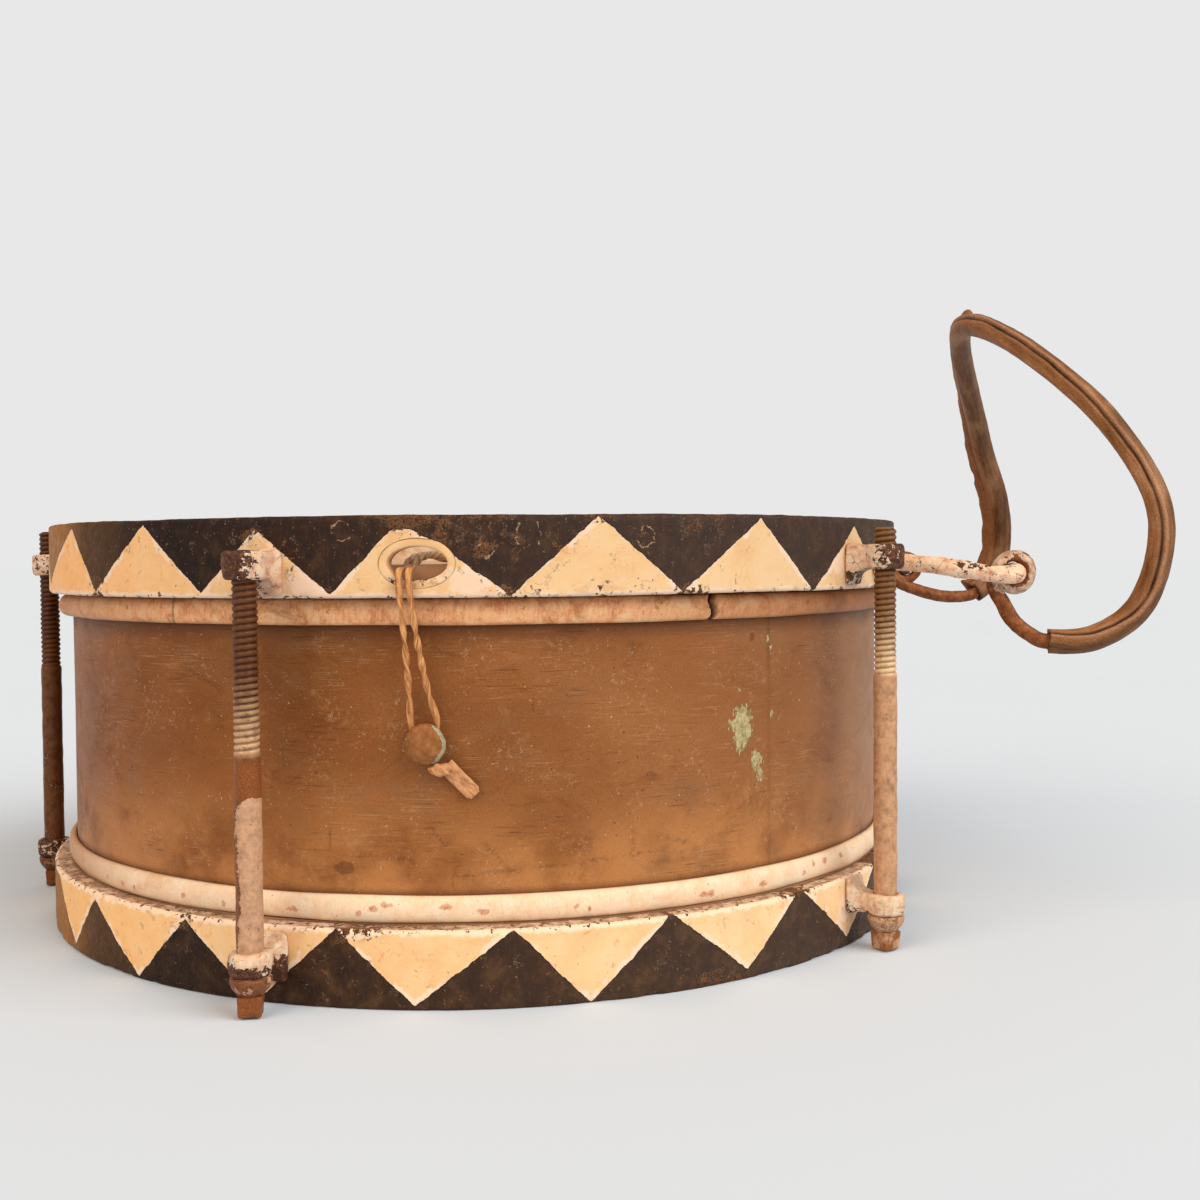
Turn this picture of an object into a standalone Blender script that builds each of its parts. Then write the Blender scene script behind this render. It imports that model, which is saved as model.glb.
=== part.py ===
"""Side drum: a shallow marching drum standing snare side up on its lower counter hoop.

Metres, +Z up. The origin is the centre of the batter head's outer face. The snare gate
faces -Y and the leg rest stands out along +X. An azimuth is measured in degrees from -Y
towards +X, so 90 is +X.
"""
import math

import bmesh
import bpy
from mathutils import Matrix, Vector

# Driving dimensions -----------------------------------------------------------------
GAP = 0.0003                  # clearance between pieces that touch
RING_STEPS = 48               # facets round the drum

SHELL_RADIUS = 0.1810
SHELL_WALL = 0.0010
HEAD_THICKNESS = 0.0006
SNARE_FACE_Z = 0.1320         # outer face of the snare head; the batter face is z = 0

HOOP_RADIUS = 0.1900
HOOP_WALL = 0.0077
LOWER_HOOP_Z = (-0.0195, 0.0080)
UPPER_HOOP_Z = (0.1207, 0.1488)
HOOP_CHAMFER = 0.0012

FLESH_RADIUS = 0.1844
FLESH_HEIGHT = 0.0092
FLESH_SHOULDER = 0.0040       # how far its roundest part is below its top
FLESH_ROUNDING = 0.0008       # how far its top and underside are drawn in
LOWER_FLESH_Z = 0.0087        # undersides of the two flesh hoops
UPPER_FLESH_Z = 0.1112

ROD_COUNT = 5
ROD_CIRCLE = 0.2043           # radius of the rods' centres
FIRST_ROD_AZIMUTH = -90.0
THREAD_RADIUS = 0.0043
SHANK_RADIUS = 0.0045
THREAD_TIP = (0.0008, 0.0010) # chamfer of the threaded end: inwards and down
SHOULDER_HALF_HEIGHT = 0.0004 # of the step from thread to shank
COLLAR_RADIUS = 0.0071
# the bowl under the collar: share of its radius at each depth below its top
COLLAR_BOWL = ((1.0, 0.0), (1.0, 0.0015), (0.86, 0.0036))
COLLAR_FOOT = 0.62            # share of the radius where the square head begins
ROD_HEAD_SIDE = 0.0084
ROD_HEAD_Z = (-0.0188, -0.0117)
ROD_HEAD_BEVEL = 0.0006
# top end, end of thread and turn of the square head (degrees) of each rod in turn
ROD_TOPS_Z = (0.1478, 0.1374, 0.1448, 0.1470, 0.1460)
THREAD_ENDS_Z = (0.0829, 0.0679, 0.0865, 0.0800, 0.0760)
HEAD_TURNS = (20.0, 8.0, 35.0, 12.0, 50.0)

BOSS_RADIUS = 0.0074
BOSS_BEVEL = 0.0008
UPPER_BOSS_Z = (0.1274, 0.1370)
UPPER_PLATE_Z = (0.1212, 0.1376)
UPPER_CLAW_LIFTS = (0.0, 0.0, 0.0012, 0.0, 0.0)  # of each rod's claw in turn
LOWER_BOSS_Z = (-0.0053, 0.0027)
LOWER_PLATE_Z = (-0.0100, 0.0064)
PLATE_WIDTH = 0.0130
PLATE_THICKNESS = 0.0036
PLATE_BEVEL = 0.0009
ARM_WIDTH = 0.0112
GUSSET_REACH = 0.0062         # how far the curved gusset runs out from the plate
OVERLAP = 0.0010              # how far bodies that are united run into each other

GATE_AZIMUTH = -1.9           # snare gate; its twin is opposite
GATE_Z = 0.1324
GATE_HALF_WIDTH = 0.0103
GATE_HALF_HEIGHT = 0.0057
BUSH_RIM = 0.0028             # width of the bush's face round the gate
BUSH_PROUD = 0.0007

GUT_RADIUS = 0.00125
GUT_ACROSS = (-0.0056, -0.0026)
GUT_END_RADIUS = 0.1832       # where the gut's bight turns back, inside the gate
THONG_RADIUS = 0.0011
STUD_ACROSS = 0.0014
STUD_Z = 0.0708
STUD_RADIUS = 0.0071
STEM_RADIUS = 0.0020
STUD_NECK = 0.1848            # distances from the axis: under its cap,
STUD_RIM = 0.1856             # at its cap's edge
STUD_CROWN = 0.1884           # and at its top
TAB_HALF_WIDTH = 0.0030
TAB_THICKNESS = 0.0013
TAB_BEVEL = 0.0005

HINGE_X = 0.2210              # leg rest's hinge line, parallel to Y
HINGE_Z = 0.1268
EYE_Y = 0.1001
EYE_RING_RADIUS = 0.0065      # centreline of the eye
EYE_WIRE_RADIUS = 0.0021
WIRE_RADIUS = 0.0031
SLEEVE_RADIUS = 0.0052
SLEEVE_WALL = 0.0013
BRACKET_AZIMUTH = 62.5
BRACKET_PLATE_Z = (0.1257, 0.1367)
BRACKET_PLATE_WIDTH = 0.0140
BRACKET_PLATE_THICKNESS = 0.0040
BRACKET_PLATE_BEVEL = 0.0012
BAR_RADIUS = 0.0035
PIN_SHARE = 0.94              # of the bar's radius, where it becomes the pin

COLOURS = {
    "wood_painted": ((0.55, 0.40, 0.22, 1.0), 0.6, 0.0),
    "brass": ((0.30, 0.17, 0.07, 1.0), 0.45, 1.0),
    "skin": ((0.62, 0.47, 0.32, 1.0), 0.6, 0.0),
    "iron_painted": ((0.50, 0.36, 0.27, 1.0), 0.6, 0.3),
    "iron_bare": ((0.16, 0.10, 0.07, 1.0), 0.55, 0.8),
    "gut": ((0.58, 0.36, 0.20, 1.0), 0.5, 0.0),
    "leather": ((0.20, 0.10, 0.05, 1.0), 0.55, 0.0),
}


# Helpers ----------------------------------------------------------------------------
def clear_scene():
    """Remove every object of the open file's scene."""
    for item in list(bpy.data.objects):
        bpy.data.objects.remove(item, do_unlink=True)


def make_collection(name):
    """A collection linked to the scene."""
    group = bpy.data.collections.new(name)
    bpy.context.scene.collection.children.link(group)
    return group


def material(name, finish):
    """A Principled material in one of the named finishes."""
    colour, roughness, metallic = COLOURS[finish]
    made = bpy.data.materials.new(name)
    made.use_nodes = True
    shader = made.node_tree.nodes["Principled BSDF"]
    shader.inputs["Base Color"].default_value = colour
    shader.inputs["Roughness"].default_value = roughness
    shader.inputs["Metallic"].default_value = metallic
    made.diffuse_color = colour
    return made


def outward(azimuth):
    """Unit vector from the drum's axis towards an azimuth."""
    angle = math.radians(azimuth)
    return Vector((math.sin(angle), -math.cos(angle), 0.0))


def along(azimuth):
    """Unit vector along the rim at an azimuth, towards larger azimuths."""
    angle = math.radians(azimuth)
    return Vector((math.cos(angle), math.sin(angle), 0.0))


def at_rim(azimuth, across, radius, height):
    """Point given by its offset along the rim, its distance out and its height."""
    return along(azimuth) * across + outward(azimuth) * radius + Vector((0.0, 0.0, height))


def smooth_route(points, steps):
    """Catmull-Rom curve through the points, with some steps for each stretch."""
    ends = [points[0] * 2 - points[1]] + list(points) + [points[-1] * 2 - points[-2]]
    route = []
    for index in range(1, len(ends) - 2):
        before, start, end, after = ends[index - 1:index + 3]
        for step in range(steps):
            t = step / steps
            route.append(0.5 * (2 * start + (end - before) * t
                                + (2 * before - 5 * start + 4 * end - after) * t ** 2
                                + (3 * start - before - 3 * end + after) * t ** 3))
    route.append(points[-1].copy())
    return route


def new_object(name, mesh, group):
    """Object of a mesh, in a collection."""
    made = bpy.data.objects.new(name, mesh)
    group.objects.link(made)
    return made


def finished(name, mesh, finish):
    """A part: its mesh smooth but for its edges, and its own material."""
    mesh.name = name
    mesh.shade_smooth()
    mesh.set_sharp_from_angle(angle=math.radians(35))
    made = new_object(name, mesh, PARTS)
    mesh.materials.clear()
    mesh.materials.append(material(name, finish))
    return made


def baked(item):
    """Mesh of an object as its modifiers leave it, in world space; the object goes."""
    bpy.context.view_layer.update()
    graph = bpy.context.evaluated_depsgraph_get()
    mesh = bpy.data.meshes.new_from_object(item.evaluated_get(graph))
    mesh.transform(item.matrix_world)
    bpy.data.objects.remove(item, do_unlink=True)
    return mesh


def turned(profile, steps=RING_STEPS, closed=False):
    """Mesh of a profile of (radius, height) points turned round Z, outer side downwards."""
    outline = bpy.data.meshes.new("profile")
    points = [(radius, 0.0, height) for radius, height in profile]
    count = len(points)
    edges = [(index, (index + 1) % count) for index in range(count if closed else count - 1)]
    outline.from_pydata(points, edges, [])
    item = new_object("turning", outline, CUTTERS)
    screw = item.modifiers.new("turn", "SCREW")
    screw.axis = "Z"
    screw.steps = steps
    screw.render_steps = steps
    screw.use_merge_vertices = True
    screw.merge_threshold = 0.00005
    return baked(item)


def tube(route, radius, radii=None, resolution=2, capped=True, closed=False):
    """Mesh of a round bar along a route of points; radii scales it at each point."""
    curve = bpy.data.curves.new("route", "CURVE")
    curve.dimensions = "3D"
    curve.bevel_depth = radius
    curve.bevel_resolution = resolution
    curve.render_resolution_u = 0
    curve.use_fill_caps = capped and not closed
    spline = curve.splines.new("POLY")
    spline.points.add(len(route) - 1)
    spline.use_cyclic_u = closed
    for index, place in enumerate(route):
        spline.points[index].co = (*place, 1.0)
        spline.points[index].radius = radii[index] if radii else 1.0
    item = new_object("tube", curve, CUTTERS)
    mesh = baked(item)
    shape = bmesh.new()
    shape.from_mesh(mesh)
    bmesh.ops.remove_doubles(shape, verts=shape.verts, dist=0.00001)
    shape.to_mesh(mesh)
    shape.free()
    return mesh


def cylinder(radius, low, high, segments, x=0.0, y=0.0):
    """Mesh of an upright cylinder between two heights."""
    shape = bmesh.new()
    place = Matrix.Translation((x, y, (low + high) / 2))
    bmesh.ops.create_cone(shape, cap_ends=True, segments=segments, radius1=radius,
                          radius2=radius, depth=high - low, matrix=place)
    mesh = bpy.data.meshes.new("cylinder")
    shape.to_mesh(mesh)
    shape.free()
    return mesh


def oval_cylinder(half_width, half_height, start, end, azimuth, height):
    """Mesh of an oval bar that runs outwards at an azimuth, between two distances."""
    mesh = cylinder(1.0, start, end, 24)
    lay_down = Matrix.Rotation(math.radians(90), 4, "X")
    mesh.transform(Matrix.Translation((0, 0, height))
                   @ Matrix.Rotation(math.radians(azimuth), 4, "Z")
                   @ lay_down @ Matrix.Diagonal((half_width, half_height, 1.0, 1.0)))
    return mesh


def block(low, high, bevel=0.0):
    """Mesh of a box between two corners, its edges rounded by one facet."""
    size = Vector(high) - Vector(low)
    shape = bmesh.new()
    place = Matrix.Translation((Vector(high) + Vector(low)) / 2) @ Matrix.Diagonal((*size, 1.0))
    bmesh.ops.create_cube(shape, size=1.0, matrix=place)
    if bevel:
        bmesh.ops.bevel(shape, geom=shape.edges[:], offset=bevel, segments=1, affect="EDGES")
    mesh = bpy.data.meshes.new("block")
    shape.to_mesh(mesh)
    shape.free()
    return mesh


def slab(outline, width):
    """Mesh of a flat outline of (x, z) points given a width along Y."""
    shape = bmesh.new()
    corners = [shape.verts.new((x, -width / 2, z)) for x, z in outline]
    face = shape.faces.new(corners)
    extruded = bmesh.ops.extrude_face_region(shape, geom=[face])["geom"]
    moved = [item for item in extruded if isinstance(item, bmesh.types.BMVert)]
    bmesh.ops.translate(shape, verts=moved, vec=(0, width, 0))
    bmesh.ops.recalc_face_normals(shape, faces=shape.faces)
    mesh = bpy.data.meshes.new("slab")
    shape.to_mesh(mesh)
    shape.free()
    return mesh


def combined(base, added=(), cut=()):
    """Mesh of a body with others united with it and others cut from it."""
    item = new_object("base", base, CUTTERS)
    tools = []
    for meshes, operation in ((added, "UNION"), (cut, "DIFFERENCE")):
        for mesh in meshes:
            tool = new_object("tool", mesh, CUTTERS)
            tool.hide_render = True
            tool.display_type = "WIRE"
            boolean = item.modifiers.new("join", "BOOLEAN")
            boolean.solver = "EXACT"
            boolean.operation = operation
            boolean.object = tool
            tools.append(tool)
    mesh = baked(item)
    for tool in tools:
        bpy.data.objects.remove(tool, do_unlink=True)
    shape = bmesh.new()
    shape.from_mesh(mesh)
    bmesh.ops.dissolve_limit(shape, angle_limit=math.radians(0.5), verts=shape.verts,
                             edges=shape.edges)
    shape.to_mesh(mesh)
    shape.free()
    return mesh


# Shell, heads and hoops --------------------------------------------------------------
def build_shell():
    """Open brass tube, its ends just inside the heads."""
    low = HEAD_THICKNESS + GAP
    high = SNARE_FACE_Z - HEAD_THICKNESS - GAP
    inner = SHELL_RADIUS - SHELL_WALL
    profile = [(SHELL_RADIUS, high), (SHELL_RADIUS, low), (inner, low), (inner, high)]
    finished("shell", turned(profile, closed=True), "brass")


def head_profile(face_z, collar_z, side):
    """Disc of skin with its collar drawn over the shell's edge; side is the way it faces."""
    inner = SHELL_RADIUS + GAP
    outer = inner + HEAD_THICKNESS
    back_z = face_z - side * HEAD_THICKNESS
    points = [(0.0, face_z), (outer, face_z), (outer, collar_z), (inner, collar_z),
              (inner, back_z), (0.0, back_z)]
    return points if side > 0 else points[::-1]


def build_heads():
    """Snare head on top and batter head below."""
    snare_collar = UPPER_FLESH_Z + FLESH_HEIGHT + GAP
    batter_collar = LOWER_FLESH_Z - GAP
    snare = turned(head_profile(SNARE_FACE_Z, snare_collar, 1))
    batter = turned(head_profile(0.0, batter_collar, -1))
    finished("snare_head", snare, "skin")
    finished("batter_head", batter, "skin")


def build_flesh_hoop(name, low):
    """Rounded hoop that the head is lapped on, seen between counter hoop and shell."""
    inner = SHELL_RADIUS + GAP
    high = low + FLESH_HEIGHT
    drawn_in = FLESH_RADIUS - FLESH_ROUNDING
    profile = [(drawn_in, high), (FLESH_RADIUS, high - FLESH_SHOULDER), (drawn_in, low),
               (inner, low), (inner, high)]
    finished(name, turned(profile, closed=True), "skin")


def hoop_mesh(low, high):
    """Wooden counter hoop with its outer edges chamfered."""
    inner = HOOP_RADIUS - HOOP_WALL
    shoulder = HOOP_RADIUS - HOOP_CHAMFER
    profile = [(shoulder, high), (HOOP_RADIUS, high - HOOP_CHAMFER),
               (HOOP_RADIUS, low + HOOP_CHAMFER), (shoulder, low), (inner, low), (inner, high)]
    return turned(profile, closed=True)


def build_hoops():
    """Counter hoops; the upper one is pierced by the two snare gates."""
    finished("lower_counter_hoop", hoop_mesh(*LOWER_HOOP_Z), "wood_painted")
    holes = [oval_cylinder(GATE_HALF_WIDTH + BUSH_RIM + GAP, GATE_HALF_HEIGHT + BUSH_RIM + GAP,
                           0.17, 0.20, azimuth, GATE_Z)
             for azimuth in (GATE_AZIMUTH, GATE_AZIMUTH + 180)]
    finished("upper_counter_hoop", combined(hoop_mesh(*UPPER_HOOP_Z), cut=holes), "wood_painted")


# Snare gates -------------------------------------------------------------------------
def build_gate_bush(name, azimuth):
    """Oval bush let into the hoop, which the snare passes through."""
    start = HOOP_RADIUS - HOOP_WALL
    end = HOOP_RADIUS + BUSH_PROUD
    body = oval_cylinder(GATE_HALF_WIDTH + BUSH_RIM, GATE_HALF_HEIGHT + BUSH_RIM,
                         start, end, azimuth, GATE_Z)
    hole = oval_cylinder(GATE_HALF_WIDTH, GATE_HALF_HEIGHT, 0.17, 0.20, azimuth, GATE_Z)
    finished(name, combined(body, cut=[hole]), "wood_painted")


def build_gut_loop():
    """Endless loop of gut that lies across the snare head from gate to gate."""
    height = SNARE_FACE_Z + GAP + GUT_RADIUS
    turn_radius = (GUT_ACROSS[1] - GUT_ACROSS[0]) / 2
    middle = (GUT_ACROSS[0] + GUT_ACROSS[1]) / 2
    turn_steps = 6
    route = []
    for side in (1, -1):
        for step in range(turn_steps + 1):
            angle = math.pi * step / turn_steps
            offset = middle - side * turn_radius * math.cos(angle)
            reach = GUT_END_RADIUS - GUT_RADIUS - turn_radius + turn_radius * math.sin(angle)
            route.append(at_rim(GATE_AZIMUTH, offset, side * reach, height))
    finished("snare_gut_loop", tube(route, GUT_RADIUS, resolution=1, closed=True), "gut")


# Each strand of thong from inside the gate, over its lip and down to the stud:
# offset along the rim, distance from the axis and height, in millimetres.
THONG_ROUTES = {
    "left": ((-6.0, 185.2, 130.6), (-6.0, 189.6, 130.1), (-5.9, 191.9, 128.4),
             (-5.7, 192.4, 125.4), (-5.5, 192.0, 120.6), (-4.4, 189.2, 104.5),
             (-3.7, 186.4, 88.5), (-3.6, 184.2, 78.4), (-2.4, 182.9, 72.2)),
    "right": ((-2.9, 185.2, 130.8), (-2.8, 189.6, 129.9), (-2.6, 191.9, 127.9),
              (-2.3, 192.4, 125.0), (-1.9, 192.0, 120.4), (0.0, 188.9, 104.5),
              (2.6, 186.2, 89.5), (5.4, 184.2, 79.0), (5.1, 182.9, 72.6)),
}


def build_thongs(side_name, azimuth):
    """The two strands of the thong that draws the gut down to the stud."""
    for strand, places in THONG_ROUTES.items():
        points = [at_rim(azimuth, across / 1000, radius / 1000, height / 1000)
                  for across, radius, height in places]
        mesh = tube(points, THONG_RADIUS, resolution=1)
        finished("snare_thong_%s_%s" % (side_name, strand), mesh, "gut")


def build_stud(name, azimuth):
    """Domed brass stud on the shell, turned round the line that it stands on."""
    foot = SHELL_RADIUS + GAP
    rise = STUD_CROWN - STUD_RIM
    dome = [(STUD_RADIUS * share, STUD_RIM + rise * math.sqrt(1 - share ** 2))
            for share in (0.0, 0.45, 0.80)]
    profile = dome + [(STUD_RADIUS, STUD_RIM), (STUD_RADIUS, STUD_NECK),
                      (STEM_RADIUS, STUD_NECK), (STEM_RADIUS, foot), (0.0, foot)]
    mesh = turned(profile, steps=14)
    made = finished(name, mesh, "brass")
    made.location = at_rim(azimuth, STUD_ACROSS, 0.0, STUD_Z)
    made.rotation_euler = (math.radians(90), 0.0, math.radians(azimuth))


def build_thong_tab(name, azimuth):
    """Knot of the thong under the stud, and its flat end that hangs beside it."""
    knot_centre = Vector((0.0074, 0.1838, 0.0618))
    knot_size = (0.0028, 0.0020, 0.0022)
    tab_start = Vector((0.0080, 0.1824, 0.0630))
    tab_end = Vector((0.0182, 0.1819, 0.0525))
    shape = bmesh.new()
    bmesh.ops.create_uvsphere(shape, u_segments=8, v_segments=5, radius=1.0)
    knot = bpy.data.meshes.new("knot")
    shape.to_mesh(knot)
    shape.free()
    knot.transform(Matrix.Translation(knot_centre) @ Matrix.Diagonal((*knot_size, 1.0)))
    length = (tab_end - tab_start).length
    strip = block((0.0, -TAB_THICKNESS / 2, -TAB_HALF_WIDTH),
                  (length, TAB_THICKNESS / 2, TAB_HALF_WIDTH), TAB_BEVEL)
    slope = math.atan2(tab_start.z - tab_end.z, tab_end.x - tab_start.x)
    strip.transform(Matrix.Translation(tab_start) @ Matrix.Rotation(slope, 4, "Y"))
    mesh = combined(knot, added=[strip])
    # The shape is drawn with +Y outwards; this turns it to face the azimuth.
    to_rim = Matrix((along(azimuth), outward(azimuth), (0.0, 0.0, 1.0))).transposed().to_4x4()
    mesh.transform(to_rim)
    mesh.flip_normals()
    finished(name, mesh, "gut")


# Tension rods and their claws ----------------------------------------------------------
def claw_mesh(boss_z, plate_z, hole_radius):
    """Forged claw: a plate on the hoop, an arm with a curved gusset, and a pierced boss."""
    face = HOOP_RADIUS + GAP
    front = face + PLATE_THICKNESS
    plate = block((face, -PLATE_WIDTH / 2, plate_z[0]), (front, PLATE_WIDTH / 2, plate_z[1]),
                  PLATE_BEVEL)
    back = front - OVERLAP
    foot = plate_z[0] + OVERLAP
    gusset = [(back + GUSSET_REACH * (1 - math.cos(angle)),
               foot + (boss_z[0] - foot) * math.sin(angle))
              for angle in (math.pi / 2 * step / 3 for step in range(4))]
    reach = ROD_CIRCLE - OVERLAP
    arm = slab(gusset + [(reach, boss_z[0]), (reach, boss_z[1]), (back, boss_z[1])], ARM_WIDTH)
    boss = cylinder(BOSS_RADIUS, boss_z[0], boss_z[1], 14, x=ROD_CIRCLE)
    shape = bmesh.new()
    shape.from_mesh(boss)
    rims = [edge for edge in shape.edges
            if len(edge.link_faces) == 2 and edge.calc_face_angle(0) > 1.0]
    bmesh.ops.bevel(shape, geom=rims, offset=BOSS_BEVEL, segments=1, affect="EDGES")
    shape.to_mesh(boss)
    shape.free()
    hole = cylinder(hole_radius, boss_z[0] - OVERLAP, boss_z[1] + OVERLAP, 12, x=ROD_CIRCLE)
    return combined(boss, added=[arm, plate], cut=[hole])


def rod_mesh(top, thread_end, head_turn):
    """Tension rod: threaded end, thicker shank, bowl-shaped collar and square head."""
    collar_top = LOWER_BOSS_Z[0] - GAP
    low, high = ROD_HEAD_Z
    inwards, down = THREAD_TIP
    step = SHOULDER_HALF_HEIGHT
    profile = [(0.0, top), (THREAD_RADIUS - inwards, top), (THREAD_RADIUS, top - down),
               (THREAD_RADIUS, thread_end + step), (SHANK_RADIUS, thread_end - step),
               (SHANK_RADIUS, collar_top)]
    profile += [(COLLAR_RADIUS * share, collar_top - depth) for share, depth in COLLAR_BOWL]
    profile += [(COLLAR_RADIUS * COLLAR_FOOT, high - ROD_HEAD_BEVEL), (0.0, high - ROD_HEAD_BEVEL)]
    body = turned(profile, steps=12)
    half = ROD_HEAD_SIDE / 2
    head = block((-half, -half, low), (half, half, high), ROD_HEAD_BEVEL)
    head.transform(Matrix.Rotation(math.radians(head_turn), 4, "Z"))
    return combined(body, added=[head])


def build_tension():
    """The rods round the drum, each through a claw on either hoop."""
    upper = claw_mesh(UPPER_BOSS_Z, UPPER_PLATE_Z, THREAD_RADIUS + GAP)
    lower = claw_mesh(LOWER_BOSS_Z, LOWER_PLATE_Z, SHANK_RADIUS + GAP)
    for index in range(ROD_COUNT):
        azimuth = FIRST_ROD_AZIMUTH + 360.0 / ROD_COUNT * index
        number = index + 1
        for level, mesh in (("upper", upper), ("lower", lower)):
            claw = finished("%s_claw_%d" % (level, number), mesh.copy(), "iron_painted")
            claw.rotation_euler = (0.0, 0.0, math.radians(azimuth - 90))
            if level == "upper":
                claw.location.z = UPPER_CLAW_LIFTS[index]
        mesh = rod_mesh(ROD_TOPS_Z[index], THREAD_ENDS_Z[index], HEAD_TURNS[index])
        rod = finished("tension_rod_%d" % number, mesh, "iron_bare")
        rod.location = outward(azimuth) * ROD_CIRCLE


# Leg rest ------------------------------------------------------------------------------
# Route of the leg rest's wire in millimetres. Its two sides share the arch; the sides
# differ only where they bend down to their eyes, the front one lower than the rear.
ARCH = ((275.9, 110.0, 139.0), (273.2, 105.0, 162.0), (259.6, 88.0, 191.5),
        (243.0, 54.0, 219.5), (231.4, 24.0, 235.6), (227.4, 0.0, 240.6))
FRONT_BEND = ((214.4, 98.8, 127.8), (213.2, 98.8, 121.4), (216.4, 98.9, 115.0),
              (220.6, 99.2, 107.6), (226.8, 100.4, 102.0), (234.2, 101.8, 98.9),
              (251.6, 106.0, 100.8), (268.0, 109.8, 113.6))
REAR_BEND = ((214.4, 98.8, 127.8), (213.2, 98.8, 123.2), (218.4, 98.8, 118.4),
             (231.0, 99.0, 113.5), (245.0, 100.2, 110.9), (260.0, 102.6, 112.8),
             (271.0, 108.2, 123.8))
ROUTE_STEPS = 2
SLEEVE_START = 5              # control point of the route where the leather begins
SLEEVE_END = 5                # and where it ends, counted from the route's other end


def leg_rest_route():
    """Points of the wire from the front eye, over the arch, to the rear eye."""
    front = [(x, -y, z) for x, y, z in FRONT_BEND + ARCH]
    rear = list(reversed(REAR_BEND + ARCH[:-1]))
    points = [Vector(place) / 1000 for place in front + rear]
    return smooth_route(points, ROUTE_STEPS)


def torus(radius, thickness, place):
    """Mesh of a ring that stands across Y."""
    profile = []
    for step in range(6):
        angle = math.pi / 2 - 2 * math.pi * (step + 0.5) / 6
        profile.append((radius + thickness * math.cos(angle), thickness * math.sin(angle)))
    mesh = turned(profile, steps=14, closed=True)
    mesh.transform(Matrix.Translation(place) @ Matrix.Rotation(math.radians(90), 4, "X"))
    return mesh


def build_leg_rest():
    """Bent wire with an eye at each end, and the leather sleeve sewn round it."""
    hinge = bpy.data.objects.new("leg_rest_hinge", None)
    hinge.location = (HINGE_X, 0.0, HINGE_Z)
    PARTS.objects.link(hinge)
    route = leg_rest_route()
    wire = tube(route, WIRE_RADIUS)
    eyes = [torus(EYE_RING_RADIUS, EYE_WIRE_RADIUS, (HINGE_X, side * EYE_Y, HINGE_Z))
            for side in (-1, 1)]
    pieces = [finished("leg_rest_wire", combined(wire, added=eyes), "iron_bare")]
    first = SLEEVE_START * ROUTE_STEPS
    last = len(route) - 1 - SLEEVE_END * ROUTE_STEPS
    sleeve = new_object("sleeve", tube(route[first:last + 1], SLEEVE_RADIUS, capped=False), CUTTERS)
    wall = sleeve.modifiers.new("wall", "SOLIDIFY")
    wall.thickness = SLEEVE_WALL
    wall.offset = -1.0
    wall.use_even_offset = True
    pieces.append(finished("leg_rest_sleeve", baked(sleeve), "leather"))
    for piece in pieces:
        piece.parent = hinge
        piece.matrix_parent_inverse = Matrix.Translation(-hinge.location)


# Bar of the front bracket from its plate to its pin; the rear one mirrors it.
BRACKET_BAR = ((171.0, 89.0, 131.0), (178.5, 93.6, 130.9), (188.5, 99.6, 129.8),
               (199.5, 104.6, 128.0), (210.5, 106.6, 126.2), (216.5, 106.8, 125.8),
               (219.6, 105.8, 125.8), (221.0, 102.8, 126.4), (221.0, 97.0, 126.8))


def build_bracket(name, side):
    """Plate on the upper hoop and a bar that ends in the pin of the leg rest's eye."""
    face = HOOP_RADIUS + GAP
    half = BRACKET_PLATE_WIDTH / 2
    low, high = BRACKET_PLATE_Z
    plate = block((face, -half, low), (face + BRACKET_PLATE_THICKNESS, half, high),
                  BRACKET_PLATE_BEVEL)
    turn = side * (BRACKET_AZIMUTH - 90)
    plate.transform(Matrix.Rotation(math.radians(turn), 4, "Z"))
    points = [Vector((x, -side * y, z)) / 1000 for x, y, z in BRACKET_BAR]
    taper = [1.0] * (len(points) - 2) + [PIN_SHARE] * 2
    bar = tube(points, BAR_RADIUS, radii=taper)
    finished(name, combined(bar, added=[plate]), "iron_painted")


# The drum --------------------------------------------------------------------------------
clear_scene()
PARTS = make_collection("side_drum")
CUTTERS = make_collection("side_drum_cutters")
build_shell()
build_heads()
build_flesh_hoop("lower_flesh_hoop", LOWER_FLESH_Z)
build_flesh_hoop("upper_flesh_hoop", UPPER_FLESH_Z)
build_hoops()
build_gut_loop()
for gate_side, gate_azimuth in (("front", GATE_AZIMUTH), ("rear", GATE_AZIMUTH + 180)):
    build_gate_bush("snare_gate_bush_%s" % gate_side, gate_azimuth)
    build_stud("snare_stud_%s" % gate_side, gate_azimuth)
    build_thongs(gate_side, gate_azimuth)
    build_thong_tab("snare_thong_tab_%s" % gate_side, gate_azimuth)
build_tension()
build_leg_rest()
build_bracket("leg_rest_bracket_front", 1)
build_bracket("leg_rest_bracket_rear", -1)
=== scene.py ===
"""Side drum: its looks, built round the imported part.

Metres in the part's own frame: +Z is up, the snare gate faces -Y and the leg rest stands
out along +X. Azimuths are in degrees from -Y towards +X. Spots, and all patterns of the
materials, are in millimetres. Colours are written as they look in the scene's light, in
sRGB from 0 to 255.
"""
import contextlib
import math

import bmesh
import bpy
import numpy as np
from mathutils import Matrix, Vector


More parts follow.
